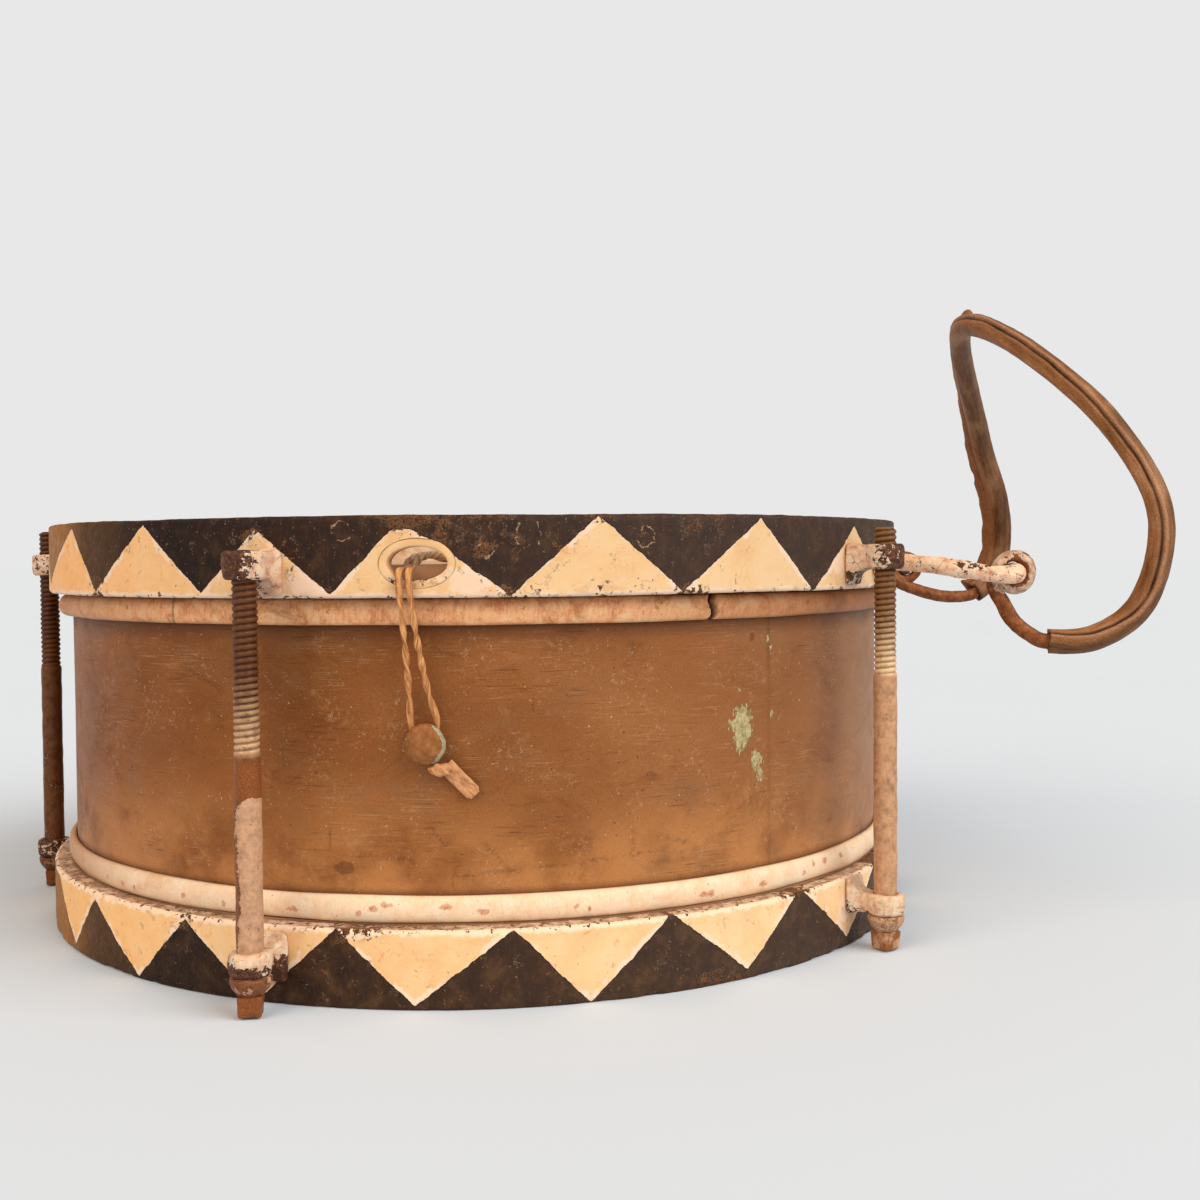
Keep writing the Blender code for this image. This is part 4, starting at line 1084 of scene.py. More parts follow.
def make_shell():
    """Brass shell with shallow dents, its lapped seam, and its inner face."""
    low, high = (corner.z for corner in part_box("shell"))
    azimuth = ring_azimuths(0.3, 1.0)[None]
    z, inner_z = np.linspace(low, high, 116)[:, None], np.linspace(high, low, 4)[:, None]
    flat = polar(azimuth, SHELL_RADIUS, z)
    dents = 0.00022 * rough_noise(flat, 0.045, 3, 1) + 0.00008 * rough_noise(flat, 0.017, 4, 1)
    off_seam = np.abs(along_rim(azimuth, SEAM_AZIMUTH))
    radius = SHELL_RADIUS + dents + 0.00018 * rise(0.0008, 0.0, off_seam)
    points = np.concatenate([polar(azimuth, radius, z),
                             polar(azimuth, SHELL_RADIUS - 0.0010, inner_z)])
    z = np.concatenate([z, inner_z])
    values = {
        "verdigris": near(azimuth, z, (
            (36.3, 75.5, 4.4, 4.2, 1.0), (36.6, 69.5, 4.2, 4.0, 0.9), (36.0, 64.5, 3.6, 3.5, 0.65),
            (38.6, 58.5, 3.6, 4.6, 0.85), (39.2, 52.0, 2.6, 3.6, 0.6), (35.0, 72.0, 2.6, 2.5, 0.5),
            (36.0, 84.7, 1.3, 1.3, 0.7), (41.3, 75.0, 1.5, 2.0, 0.7), (42.5, 72.4, 1.2, 1.4, 0.6),
            (40.7, 103.0, 1.2, 2.2, 0.7), (41.2, 100.0, 1.0, 1.3, 0.55),
            (118.0, 60.0, 4.0, 5.0, 0.6), (203.0, 48.0, 3.5, 4.5, 0.8),
            (206.0, 40.0, 2.2, 4.0, 0.6), (262.0, 92.0, 2.6, 3.0, 0.6))),
        "stain": near(azimuth, z, (
            (-10.8, 27.0, 5.0, 3.0, 0.9), (-1.6, 84.0, 20.0, 9.0, 0.35),
            (38.0, 104.0, 1.4, 2.0, 1.0), (-14.0, 60.0, 2.6, 2.0, 0.5),
            (150.0, 80.0, 24.0, 12.0, 0.4), (240.0, 35.0, 16.0, 9.0, 0.5))),
        # painted sheen of the lights: wide on the right, faint on the left
        "painted_sheen": near(azimuth, z, ((70.0, 75.0, 60.0, 70.0, 1.0), (-75.0, 60.0, 25.0, 60.0, 0.25))),
        "seam": rise(0.0017, 0.0004, off_seam) * (0.45 + 0.55 * rise(0.082, 0.100, z)),
        "scuff": scratches(azimuth, z, (
            (4.0, 37.6, 7.4, 26.2), (-1.2, 41.5, 0.4, 35.0), (-12.5, 40.0, -12.6, 34.0),
            (0.0, 24.0, 12.0, 27.0), (12.0, 27.0, 26.0, 30.0), (-9.0, 31.5, -3.0, 30.0),
            (24.5, 35.0, 28.5, 31.0), (21.5, 37.0, 21.5, 27.5), (130.0, 40.0, 138.0, 33.0),
            (212.0, 90.0, 221.0, 86.0), (250.0, 52.0, 252.0, 40.0))),
        "scrape": near(azimuth, z, [(place, height, 5.0, 1.6, 1.0) for place, height in (
            (-13.0, 103.5), (-6.5, 103.0), (-9.3, 97.5), (2.0, 97.0), (-29.0, 100.0),
            (-24.0, 93.0), (-1.0, 101.0), (12.0, 99.0), (-12.0, 88.0), (30.0, 92.0),
            (95.0, 99.0), (150.0, 70.0), (230.0, 96.0), (262.0, 84.0))]),
        "shade": near(azimuth, z, (
            (-19.2, 90.0, 7.0, 48.0, 1.0), (-54.0, 60.0, 12.0, 90.0, 0.6),
            (8.0, 52.0, 30.0, 22.0, 0.35), (-2.0, 106.0, 60.0, 6.0, 0.3)))}
    piece("shell", grid_mesh(points, wrap_rows=True, values=values), aged_brass("aged_brass"),
          name="brass_shell")


make_shell()


def make_flesh_hoop(name, surface, seed, stains, gap=None, joint=None, ragged=None):
    """Hoop that a head is lapped on: a wavy half-round with the lap's folds, and where it has
    them a gap, a rolled joint and a ragged end."""
    low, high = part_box(name)
    inner = SHELL_RADIUS + 0.0003
    azimuth = ring_azimuths(0.2, 0.4)[None]
    turn = np.linspace(-math.pi / 2, math.pi / 2, 19)[:, None]
    middle, half = (low.z + high.z) / 2, (high.z - low.z) / 2
    ring = polar(azimuth[0], SHELL_RADIUS, 0.0)
    swell, slack = value_noise(ring, 0.030, seed), value_noise(ring, 0.055, seed + 2)
    radius = inner + (high.x - inner) * np.abs(np.cos(turn)) ** 0.62 * (1.0 + 0.10 * swell)
    z = middle + half * np.sin(turn) * (1.0 + 0.05 * swell) + 0.00035 * slack * np.cos(turn)
    cut = dark = 0 * z
    if ragged is not None:
        swollen = bell(along_rim(azimuth, ragged) / MM, 9.0)
        radius = radius + 0.0024 * swollen * np.cos(turn)
    if joint is not None:
        ridge = bell(along_rim(azimuth, joint) / MM, 1.1)
        radius = radius + 0.0005 * ridge * np.cos(turn)
        off = along_rim(azimuth, joint) / MM - 0.9 * np.cos(turn)
        # painted shade along both edges of the rolled joint
        dark = np.maximum(0.8 * rise(0.9, 0.3, np.abs(off - 0.6)),
                          0.5 * rise(0.8, 0.3, np.abs(off + 1.6)))
    if gap is not None:
        off = np.abs(along_rim(azimuth, gap) + 0.0007 * np.sin(turn * 3.0)) / MM
        cut = rise(1.5, 0.9, off)
        radius = inner + (radius - inner) * (1.0 - 0.93 * cut)
    fold = rough_noise(polar(azimuth, radius, z) * [1.0, 1.0, 0.25], 0.0022, seed + 4)
    radius = radius + 0.00009 * fold * np.cos(turn)
    # painted shade in the gap, and at the joint where the folds dip
    dark = np.maximum(cut, dark * rise(-0.6, 0.3, fold))
    back = np.array([high.z - 0.0005, middle, low.z + 0.0005])[:, None] + 0 * azimuth
    points = np.concatenate([polar(azimuth, radius, z), polar(azimuth, inner, back)])
    values = {"stain": near(azimuth, np.concatenate([z, back]), stains),
              "gap": np.concatenate([dark, 0 * back])}
    piece(name, grid_mesh(points, wrap_rows=True, values=values), surface)


def rim_spots(azimuths, z, wide, high, strength):
    """Spots of one size at a row of azimuths, each a little different."""
    return [(azimuth, z + 1.6 * math.sin(azimuth * 5.0),
             wide * (1.0 + 0.5 * math.sin(azimuth * 3.0)), high, strength)
            for azimuth in azimuths]


# each lap's last argument is painted shade towards its sides: (start, end, share) along X
make_flesh_hoop("upper_flesh_hoop", lapped_skin(
    "upper_lap", 21.0, (266, 210, 152), (262, 186, 126), (220, 136, 82), (170, 92, 38),
    (186, 106, 64), ((40.0, 165.0, 0.75), (-50.0, -170.0, 0.42))), 61,
    rim_spots((-41, -12, 9, 22.5, 24, 47, 80, 110, 150, 190, 230, 260), 115.5, 1.3, 1.1, 0.8),
    gap=31.4, joint=-33.0, ragged=-66.0)
make_flesh_hoop("lower_flesh_hoop", lapped_skin(
    "lower_lap", 27.0, (270, 238, 198), (268, 228, 184), (266, 212, 162), (246, 184, 132),
    (220, 134, 92), ((-105.0, -172.0, 1.0),)), 67,
    rim_spots((-56.0, -47.0, -43.0, -40.5, -31.5, -25.5, -16.5, -9.0, -7.5, -6.0, 0.5, 4.5, 14.5,
               16.0, 30.0, 31.0, 38.5, 46.0, 48.0, 50.5, 54.5, 75, 96, 120, 133, 160, 178, 200,
               214, 236, 250, 268, 280), 13.6, 1.9, 1.3, 1.0))


def make_head(name, face_z, collar_z, side, seed):
    """Skin of a head, slack by a fraction of a millimetre, drawn down over the shell's edge."""
    edge, bend, skin = SHELL_RADIUS + 0.0009, 0.0012, 0.0006
    azimuth = np.arange(-180.0, 180.0, 1.2)
    radii = np.concatenate([np.linspace(0.0, 0.172, 52), np.linspace(0.174, edge - bend, 8)])
    round_off = np.linspace(0, math.pi / 2, 5)[1:]
    radius = np.concatenate([radii, edge - bend * (1 - np.sin(round_off)), [edge, edge]])
    drop = np.concatenate([0 * radii, bend * (1 - np.cos(round_off)),
                           [abs(face_z - collar_z) / 2, abs(face_z - collar_z)]])
    points = polar(azimuth, radius[:, None], (face_z - side * drop)[:, None])
    calm = rise(0.179, 0.150, np.hypot(points[..., 0], points[..., 1]))
    wave = 0.00045 * rough_noise(points, 0.060, seed, 1)
    wave += 0.00012 * rough_noise(points, 0.016, seed + 1, 1)
    points[..., 2] -= side * np.abs(wave) * calm
    under = polar(azimuth, np.array([[edge - skin], [edge - skin], [0.0]]),
                  np.array([[collar_z], [face_z - side * skin], [face_z - side * skin]]))
    points = np.concatenate([points, under])
    rim = rise(0.150, 0.181, np.hypot(points[..., 0], points[..., 1]))
    piece(name, grid_mesh(points, values={"rim": rim}), drum_skin(name + "_skin", seed))


snare_box, batter_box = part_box("snare_head"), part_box("batter_head")
make_head("snare_head", snare_box[1].z, snare_box[0].z, 1, 71)
make_head("batter_head", 0.0, batter_box[1].z, -1, 73)


# Studs and tabs ------------------------------------------------------------------------------
def make_stud(side_name, surface):
    """Domed stud on its stem, with crust built up round the rim, a little aside of its gate."""
    radius, neck, crown = 0.0071, 0.1848, 0.1884
    stem, foot = 0.0020, SHELL_RADIUS + 0.0003
    aside, height = 0.0014, 0.0708
    dome = [(radius * math.sin(a), neck + 0.0006 + (crown - neck - 0.0006) * math.cos(a))
            for a in np.linspace(0, math.pi / 2, 15)]
    mesh = turned_mesh(dome + [(radius, neck + 0.0002), (radius * 0.96, neck - 0.0002),
                               (radius * 0.55, neck - 0.0003), (stem, neck - 0.0006),
                               (stem, foot), (0.0, foot)], 56)
    points = read(mesh)
    angle = np.arctan2(points[:, 1], points[:, 0])
    reach = np.hypot(points[:, 0], points[:, 1])
    right = rise(0.0, 0.7, np.cos(angle)) + 0.45 * rise(0.55, 0.9, -np.cos(angle))
    crust = rise(radius * 0.70, radius * 0.98, reach) * right
    points[:, :2] *= (1 + 0.05 * crust * value_noise(points, 0.0016, 9))[:, None]
    points[:, 2] += 0.00010 * value_noise(points, 0.0030, 10) * (reach > 0.003)
    local = np.stack([points[:, 0] + aside, points[:, 2], points[:, 1] + height], -1)
    set_points(mesh, at_rim(GATES[side_name], local))
    add_values(mesh, crust=crust)
    face_outwards(mesh)
    piece("snare_stud_" + side_name, mesh, surface)


def make_tab(side_name, surface):
    """Crumpled knot of the thong below the stud, and its flat end with a slit in it."""
    knot = bpy.data.meshes.new("knot")
    with editing(knot) as shape:
        bmesh.ops.create_icosphere(shape, subdivisions=4, radius=1.0)
    points = read(knot)
    folds = (1.0 + 0.16 * rough_noise(points, 0.9, 3)
             + 0.10 * np.sin(points[:, 0] * 7.0 + points[:, 2] * 5.0))
    set_points(knot, points * folds[:, None] * (0.0040, 0.0020, 0.0024) + (0.0064, 0.1840, 0.0618))
    start, end = np.array((0.0080, 0.1826, 0.0632)), np.array((0.0180, 0.1820, 0.0527))
    run = np.linspace(0, 1, 40)
    route = start + (end - start) * run[:, None]
    route[:, 1] += 0.0003 * np.sin(run * 5.0)
    swept, share = sweep(route, strip_section(0.0058, 0.0013, 0.0, columns=28), (0.0, 1.0, 0.0))
    oblique = np.concatenate([[0.0], rise(0.86, 1.0, share), [1.0]])[:, None, None]
    centre = np.concatenate([[start], route, [end]])[:, None]
    swept = centre + (swept - centre) * (1.0 - 0.35 * oblique ** 2)
    slit = np.concatenate([[0.0], bell(share - 0.62, 0.13), [0.0]])[:, None]
    swept[..., 1] -= 0.0009 * slit * (np.linalg.norm(swept - centre, axis=-1) < 0.0012)
    mesh = joined(knot, grid_mesh(swept))
    local = read(mesh)
    local[:, 1] += 0.00010 * rough_noise(local, 0.0020, 6)
    set_points(mesh, at_rim(GATES[side_name], local))
    face_outwards(mesh)
    add_values(mesh, along=((local[:, 0] - start[0]) * 0.69 - (local[:, 2] - start[2]) * 0.72) / MM,
               around=(local[:, 0] * 0.72 + local[:, 2] * 0.69) / MM, groove=0.0)
    piece("snare_thong_tab_" + side_name, mesh, surface)


stud_surface = stud_brass("stud_brass")
for side_name in GATES:
    make_stud(side_name, stud_surface)
tab_hide = twisted_gut("tab_hide", (240, 172, 116), (220, 151, 97), (190, 126, 78), 9.0, 3.0)
for side_name in GATES:
    make_tab(side_name, tab_hide)


# Tension rods and claws ----------------------------------------------------------------------
ROD_AZIMUTHS = (-90.0, -18.0, 54.0, 126.0, 198.0)
THREAD_ENDS_Z = (0.0829, 0.0679, 0.0865, 0.0800, 0.0760)
HEAD_TURNS = (20.0, 8.0, 35.0, 12.0, 50.0)    # degrees that the square heads are turned
PITCH = 0.0022
THREAD_RADIUS = 0.0043
THREAD_DEPTH = 0.00062
SHANK_RADIUS = 0.0045
COLLAR_TOP_Z = -0.0056
# (radius, height below its top) down the collar
COLLAR = ((0.0067, 0.0), (0.00705, -0.0004), (0.0071, -0.0012), (0.0069, -0.0024),
          (0.0062, -0.0039), (0.0051, -0.0052), (0.0043, -0.0062), (0.0, -0.0063))
HEAD_TOP_Z = -0.0117
HEAD_HALF = 0.0042
ROD_FOOT_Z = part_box("tension_rod_1")[0].z


def make_rod(index, surface, rust, cover):
    """Tension rod: rounded screw thread, shank, bowl-shaped collar and square head. rust, a
    function of the height, and cover, one of the height and the angle, say where it is rusted
    and painted."""
    name = "tension_rod_%d" % (index + 1)
    thread_end, top = THREAD_ENDS_Z[index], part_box(name)[1].z
    angle = full_turn(32)[None]
    thread = np.linspace(top - 0.0004, thread_end, int((top - thread_end) / PITCH * 8))
    shank = np.linspace(thread_end - 0.0012, COLLAR_TOP_Z, 62)
    z = np.concatenate([thread, shank])[:, None] + 0 * angle
    wave = 0.5 + 0.5 * np.cos(2 * math.pi * z / PITCH - angle)
    fade = rise(thread_end, thread_end + 0.003, z)
    crest = THREAD_RADIUS * rise(top + 0.0012, top - 0.0014, z) ** 0.5
    radius = fade * (crest - THREAD_DEPTH * (1 - wave ** 0.5)) + (1 - fade) * SHANK_RADIUS
    flat = np.stack([radius * np.cos(angle), radius * np.sin(angle), z], -1)
    rough = rough_noise(flat, 0.0042, index + 5, 4)
    painted = cover(z, angle)
    radius = radius + 0.00009 * rough * (1 + 0.6 * (1 - fade)) + 0.00008 * (painted > 0.3)
    values = {"groove": fade * (1 - wave ** 0.6), "shank": 1 - fade, "rust": rust(z),
              "cover": painted, "polish": rise(thread_end + 0.032, thread_end, z)}
    collar = np.array(COLLAR) + (0.0, COLLAR_TOP_Z)
    lip = collar[:, :1] * (1 + 0.02 * np.sin(3 * angle + index))
    radius = np.concatenate([radius[:1] * 0, radius[:1] * 0.86, radius, lip])
    z = np.concatenate([z[:1] * 0 + top, z[:1] * 0 + top - 0.0001, z, collar[:, 1:] + 0 * angle])
    on_collar = {"shank": 1.0, "rust": 0.3, "cover": 0.38}
    for key, numbers in values.items():
        pad = np.repeat(numbers[-1:] * 0 + on_collar.get(key, 0.0), len(collar), 0)
        values[key] = np.concatenate([numbers[:1], numbers[:1], numbers, pad])
    body = grid_mesh(np.stack([radius * np.cos(angle), radius * np.sin(angle), z], -1),
                     values=values)
    head = box_mesh((-HEAD_HALF, -HEAD_HALF, ROD_FOOT_Z), (HEAD_HALF, HEAD_HALF, HEAD_TOP_Z),
                    0.0007, 3)
    with editing(head) as shape:
        bmesh.ops.subdivide_edges(shape, edges=shape.edges, cuts=4, use_grid_fill=True)
    local = read(head)
    local[:, :2] += 0.00022 * rough_noise(local, 0.0030, index + 31)[:, None]
    turn = math.radians(HEAD_TURNS[index])
    local[:, :2] = local[:, :2] @ np.array(((math.cos(turn), math.sin(turn)),
                                           (-math.sin(turn), math.cos(turn))))
    local[:, :2] *= np.interp(local[:, 2], (ROD_FOOT_Z, HEAD_TOP_Z), (0.93, 1.02))[:, None]
    set_points(head, local)
    add_values(head, groove=0.0, shank=1.0, rust=0.45, cover=0.12, polish=0.0)
    mesh = joined(body, head)
    set_points(mesh, read(mesh) + at_rim(ROD_AZIMUTHS[index], (0.0, ROD_CIRCLE, 0.0)))
    piece(name, mesh, surface)


def band(low, high, soft=0.0015):
    """Function of height: 1 between two heights, with soft ends."""
    return lambda z: rise(low - soft, low + soft, z) * rise(high + soft, high - soft, z)


def coat(top, share, bare_angle=0.0, bare=0.0, chip_z=0.0, chip=0.0):
    """Paint from the foot up to a height, thinner on the side of one angle (degrees) and
    chipped there round the height chip_z."""
    def cover(z, angle):
        side = np.clip(np.cos(angle - math.radians(bare_angle)), 0.0, 1.0) ** 3
        side = side * (1.0 + chip * bell(z - chip_z, 0.008))
        edge = top - 0.0030 * side
        step = rise(edge + 0.0010, edge - 0.0010, z)
        return step * (share - bare * side) - 0.16 * (1 - step)
    return cover


dark_rod = rod_iron("dark_rod", 91.0, (78, 46, 24), (118, 74, 46), (236, 184, 134),
                    (150, 92, 58), (218, 164, 124))
tan_rod = rod_iron("tan_rod", 97.0, (96, 58, 32), (146, 100, 64), (258, 212, 158),
                   (218, 162, 118), (226, 176, 134))
left_rod = rod_iron("left_rod", 103.0, (60, 34, 16), (104, 62, 36), (122, 74, 44),
                    (122, 78, 50), (176, 124, 86))
RODS = (
    (left_rod, band(0.0, 0.0), coat(0.050, 0.30)),
    (dark_rod, band(0.0545, 0.0668), coat(0.0548, 1.15, 206.0, 0.75, 0.020, 0.8)),
    (tan_rod, band(0.0, 0.0), coat(0.030, -0.05)),
    (dark_rod, band(0.066, 0.079), coat(0.064, 0.85, 90.0, 0.4)),
    (left_rod, band(0.060, 0.074), coat(0.055, 0.6, 20.0, 0.3)),
)
for index, rod in enumerate(RODS):
    make_rod(index, *rod)


def claw_solid(boss_z, plate_z, half_width):
    """Overlapping solids of a forged claw: a foot that flares into the arm, and the boss,
    along +X."""
    out = np.concatenate([(0.0, 0.0007, 0.0014), np.linspace(0.0018, 0.0085, 15),
                          (0.0110, ROD_CIRCLE - FACE_OF_METAL)])
    ends = (out < 0.0001) * 0.0006

    def bend(size):
        return 1 - np.sqrt(1 - (1 - np.clip((out - 0.0015) / size, 0.0, 1.0)) ** 2)

    low_end, high_end = boss_z
    low = low_end - (low_end - plate_z[0]) * bend(0.0066) + 0.0004 * (bend(0.0066) < 0.01)
    high = high_end + (plate_z[1] - high_end) * bend(0.0046) - 0.0004 * (bend(0.0046) < 0.01)
    wide = 0.0046 + (half_width - 0.0046) * bend(0.0052) - ends
    angle = full_turn(64)
    y = wide[:, None] * blunt(np.cos(angle), 0.30)
    z = ((low + high) / 2)[:, None] + ((high - low) / 2 - ends)[:, None] * blunt(np.sin(angle), 0.30)
    rows = np.stack([(FACE_OF_METAL + out)[:, None] + 0 * y, y, z], -1)
    caps = [np.broadcast_to(row.mean(axis=0), row.shape)[None] for row in (rows[0], rows[-1])]
    arm = grid_mesh(np.concatenate([caps[0], rows, caps[1]]))
    boss = turned_mesh([(0.0, high_end), (0.0064, high_end), (0.0073, high_end - 0.0008),
                        (0.0075, high_end - 0.0030), (0.0074, low_end + 0.0026),
                        (0.0070, low_end + 0.0008), (0.0062, low_end), (0.0, low_end)],
                       x=ROD_CIRCLE)
    return joined(arm, boss)


def make_claw(level, index, boss_z, plate_z, half_width, hole, surface, cover):
    """One claw, forged in one piece, worn by noise, and pierced for its rod."""
    seed = index * 7 + (3 if level == "upper" else 5)
    mesh = fused(claw_solid(boss_z, plate_z, half_width), 0.00046, 2)
    roughen(mesh, (0.00015, 0.0034, seed), (0.00008, 0.0012, seed + 2))
    bottom, top = boss_z[0] - 0.004, boss_z[1] + 0.004
    tool = bpy.data.objects.new("cutter", turned_mesh(
        [(0.0, top), (hole, top), (hole, bottom), (0.0, bottom)], 36, x=ROD_CIRCLE))
    bpy.context.scene.collection.objects.link(tool)
    mesh = modified(mesh, ("BOOLEAN", {"operation": "DIFFERENCE", "solver": "FAST",
                                       "object": tool}))
    bpy.data.objects.remove(tool, do_unlink=True)
    add_values(mesh, cover=cover(*(read(mesh) / MM).T))
    mesh.transform(Matrix.Rotation(math.radians(ROD_AZIMUTHS[index] - 90), 4, "Z"))
    piece("%s_claw_%d" % (level, index + 1), mesh, surface)


def foot_edge(x, y):
    """How near a place on a claw is to the sides of its foot."""
    return rise(4.6, 6.2, np.abs(y)) * (x < 194.5)


# cover of the paint over each claw: x outwards, y along the rim, z up, in millimetres
UPPER_COVER = (
    lambda x, y, z: 0.50 + 0.02 * y,
    lambda x, y, z: 0.46 + 0.075 * y - 0.035 * (x - 200.0) - 0.22 * foot_edge(x, y),
    lambda x, y, z: 0.86 - 0.05 * (x - 196.0) - 0.02 * y - 0.3 * foot_edge(x, y)
    # less paint under the arm: rust, and painted shade where the arm shades the foot
    - 0.6 * rise(129.5, 127.0, z) * (x > 190.6),
    lambda x, y, z: 0.45 - 0.05 * y,
    lambda x, y, z: 0.30 + 0.03 * y,
)
LOWER_COVER = (
    lambda x, y, z: 0.34,
    lambda x, y, z: 0.52 + 0.05 * y + 0.17 * (z + 0.6) - 0.2 * foot_edge(x, y),
    lambda x, y, z: 0.80 - 0.02 * y + 0.05 * (z + 1.5) - 0.3 * foot_edge(x, y),
    lambda x, y, z: 0.60 + 0.03 * y,
    lambda x, y, z: 0.45 - 0.03 * y,
)
UPPER_LIFTS = (0.0, 0.0, 0.0012, 0.0, 0.0)    # how much higher each upper claw sits
# lowest and highest point of each lower claw's foot
LOWER_FEET = ((-0.0100, 0.0064), (-0.0112, 0.0060), (-0.0064, 0.0080), (-0.0100, 0.0064),
              (-0.0096, 0.0060))
pink_paint = painted_iron("pink_paint", 111.0, (255, 216, 176), (244, 186, 144))
cream_paint = painted_iron("cream_paint", 117.0, (255, 224, 184), (250, 200, 156))
for index, lift in enumerate(UPPER_LIFTS):
    make_claw("upper", index, (0.1274 + lift, 0.1370 + lift), (0.1212 + lift, 0.1376 + lift),
              0.0063, 0.0047, pink_paint, UPPER_COVER[index])
    make_claw("lower", index, (-0.0053, 0.0027), LOWER_FEET[index], 0.0065, 0.0049,
              cream_paint, LOWER_COVER[index])


# Leg rest ------------------------------------------------------------------------------------
# Routes of the wire and of the bracket's bar in millimetres, as the part has them.
ARCH = ((275.9, 110.0, 139.0), (273.2, 105.0, 162.0), (259.6, 88.0, 191.5),
        (243.0, 54.0, 219.5), (231.4, 24.0, 235.6), (227.4, 0.0, 240.6))
FRONT_BEND = ((214.4, 98.8, 127.8), (213.2, 98.8, 121.4), (216.4, 98.9, 115.0),
              (220.6, 99.2, 107.6), (226.8, 100.4, 102.0), (234.2, 101.8, 98.9),
              (251.6, 106.0, 100.8), (268.0, 109.8, 113.6))
REAR_BEND = ((214.4, 98.8, 127.8), (213.2, 98.8, 123.2), (218.4, 98.8, 118.4),
             (231.0, 99.0, 113.5), (245.0, 100.2, 110.9), (260.0, 102.6, 112.8),
             (271.0, 108.2, 123.8))
BRACKET_BAR = ((171.0, 89.0, 131.0), (178.5, 93.6, 130.9), (188.5, 99.6, 129.8),
               (199.5, 104.6, 128.0), (210.5, 106.6, 126.2), (216.5, 106.8, 125.8),
               (219.6, 105.8, 125.8), (221.0, 102.8, 126.4), (221.0, 97.0, 126.8))
HINGE = (0.2210, 0.1001, 0.1268)
BRACKET_AZIMUTH = 62.5    # of the front plate; the rear one mirrors it
STEPS = 14
LEFTWARDS = (0.0, -1.0, 0.0)


def leg_rest_route():
    """Points of the wire from the front eye, over the arch, to the rear eye."""
    front = [(x, -y, z) for x, y, z in FRONT_BEND + ARCH]
    rear = list(REAR_BEND + ARCH[:-1])[::-1]
    return smooth_route(np.array(front + rear) * MM, STEPS)


def round_section(radius, columns, lumps, grain, seed):
    """Round section with small swellings along it."""
    angle = full_turn(columns)[None]

    def section(share):
        place = np.concatenate([share / grain, 1.0 + 0 * share, 0 * share], 1)
        size = radius * (1 + lumps * value_noise(place, 1.0, seed)[:, None])
        return size * np.cos(angle), size * np.sin(angle)
    return section


def make_wire():
    """Bent iron wire with a painted eye at each end."""
    meshes = [grid_mesh(sweep(leg_rest_route(), round_section(0.0031, 20, 0.05, 0.02, 3),
                              LEFTWARDS)[0])]
    turn, angle = full_turn(72), full_turn(24)[None]
    out = np.stack([np.cos(turn), 0 * turn, np.sin(turn)], -1)
    for side in (-1, 1):
        ring = 0.0064 * out + (HINGE[0], side * HINGE[1], HINGE[2])
        size = 0.0025 * (1 + 0.06 * np.sin(turn * 3 + side)[:, None])
        eye = beside(ring, out, 0 * out + (0.0, 1.0, 0.0), size * np.cos(angle),
                     size * 1.3 * np.sin(angle))
        eye[..., 1] -= side * 0.0006
        meshes.append(grid_mesh(eye, wrap_rows=True))
    mesh = joined(*meshes)
    roughen(mesh, (0.00014, 0.0030, 41), (0.00006, 0.0011, 42))
    points = read(mesh)
    cover = 0.0
    for side in (-1, 1):
        away = points - (HINGE[0], side * HINGE[1], HINGE[2])
        reach = np.linalg.norm(away * (1.0, 0.8, 1.0), axis=1)
        bore = rise(0.0062, 0.0048, np.linalg.norm(away[:, (0, 2)], axis=1))
        cover = cover + rise(0.0130, 0.0085, reach) * (0.85 - 0.75 * bore if side < 0 else 0.2)
    add_values(mesh, cover=cover)
    piece("leg_rest_wire", mesh, rusty_wire("rusty_wire", 121.0), "leg_rest")


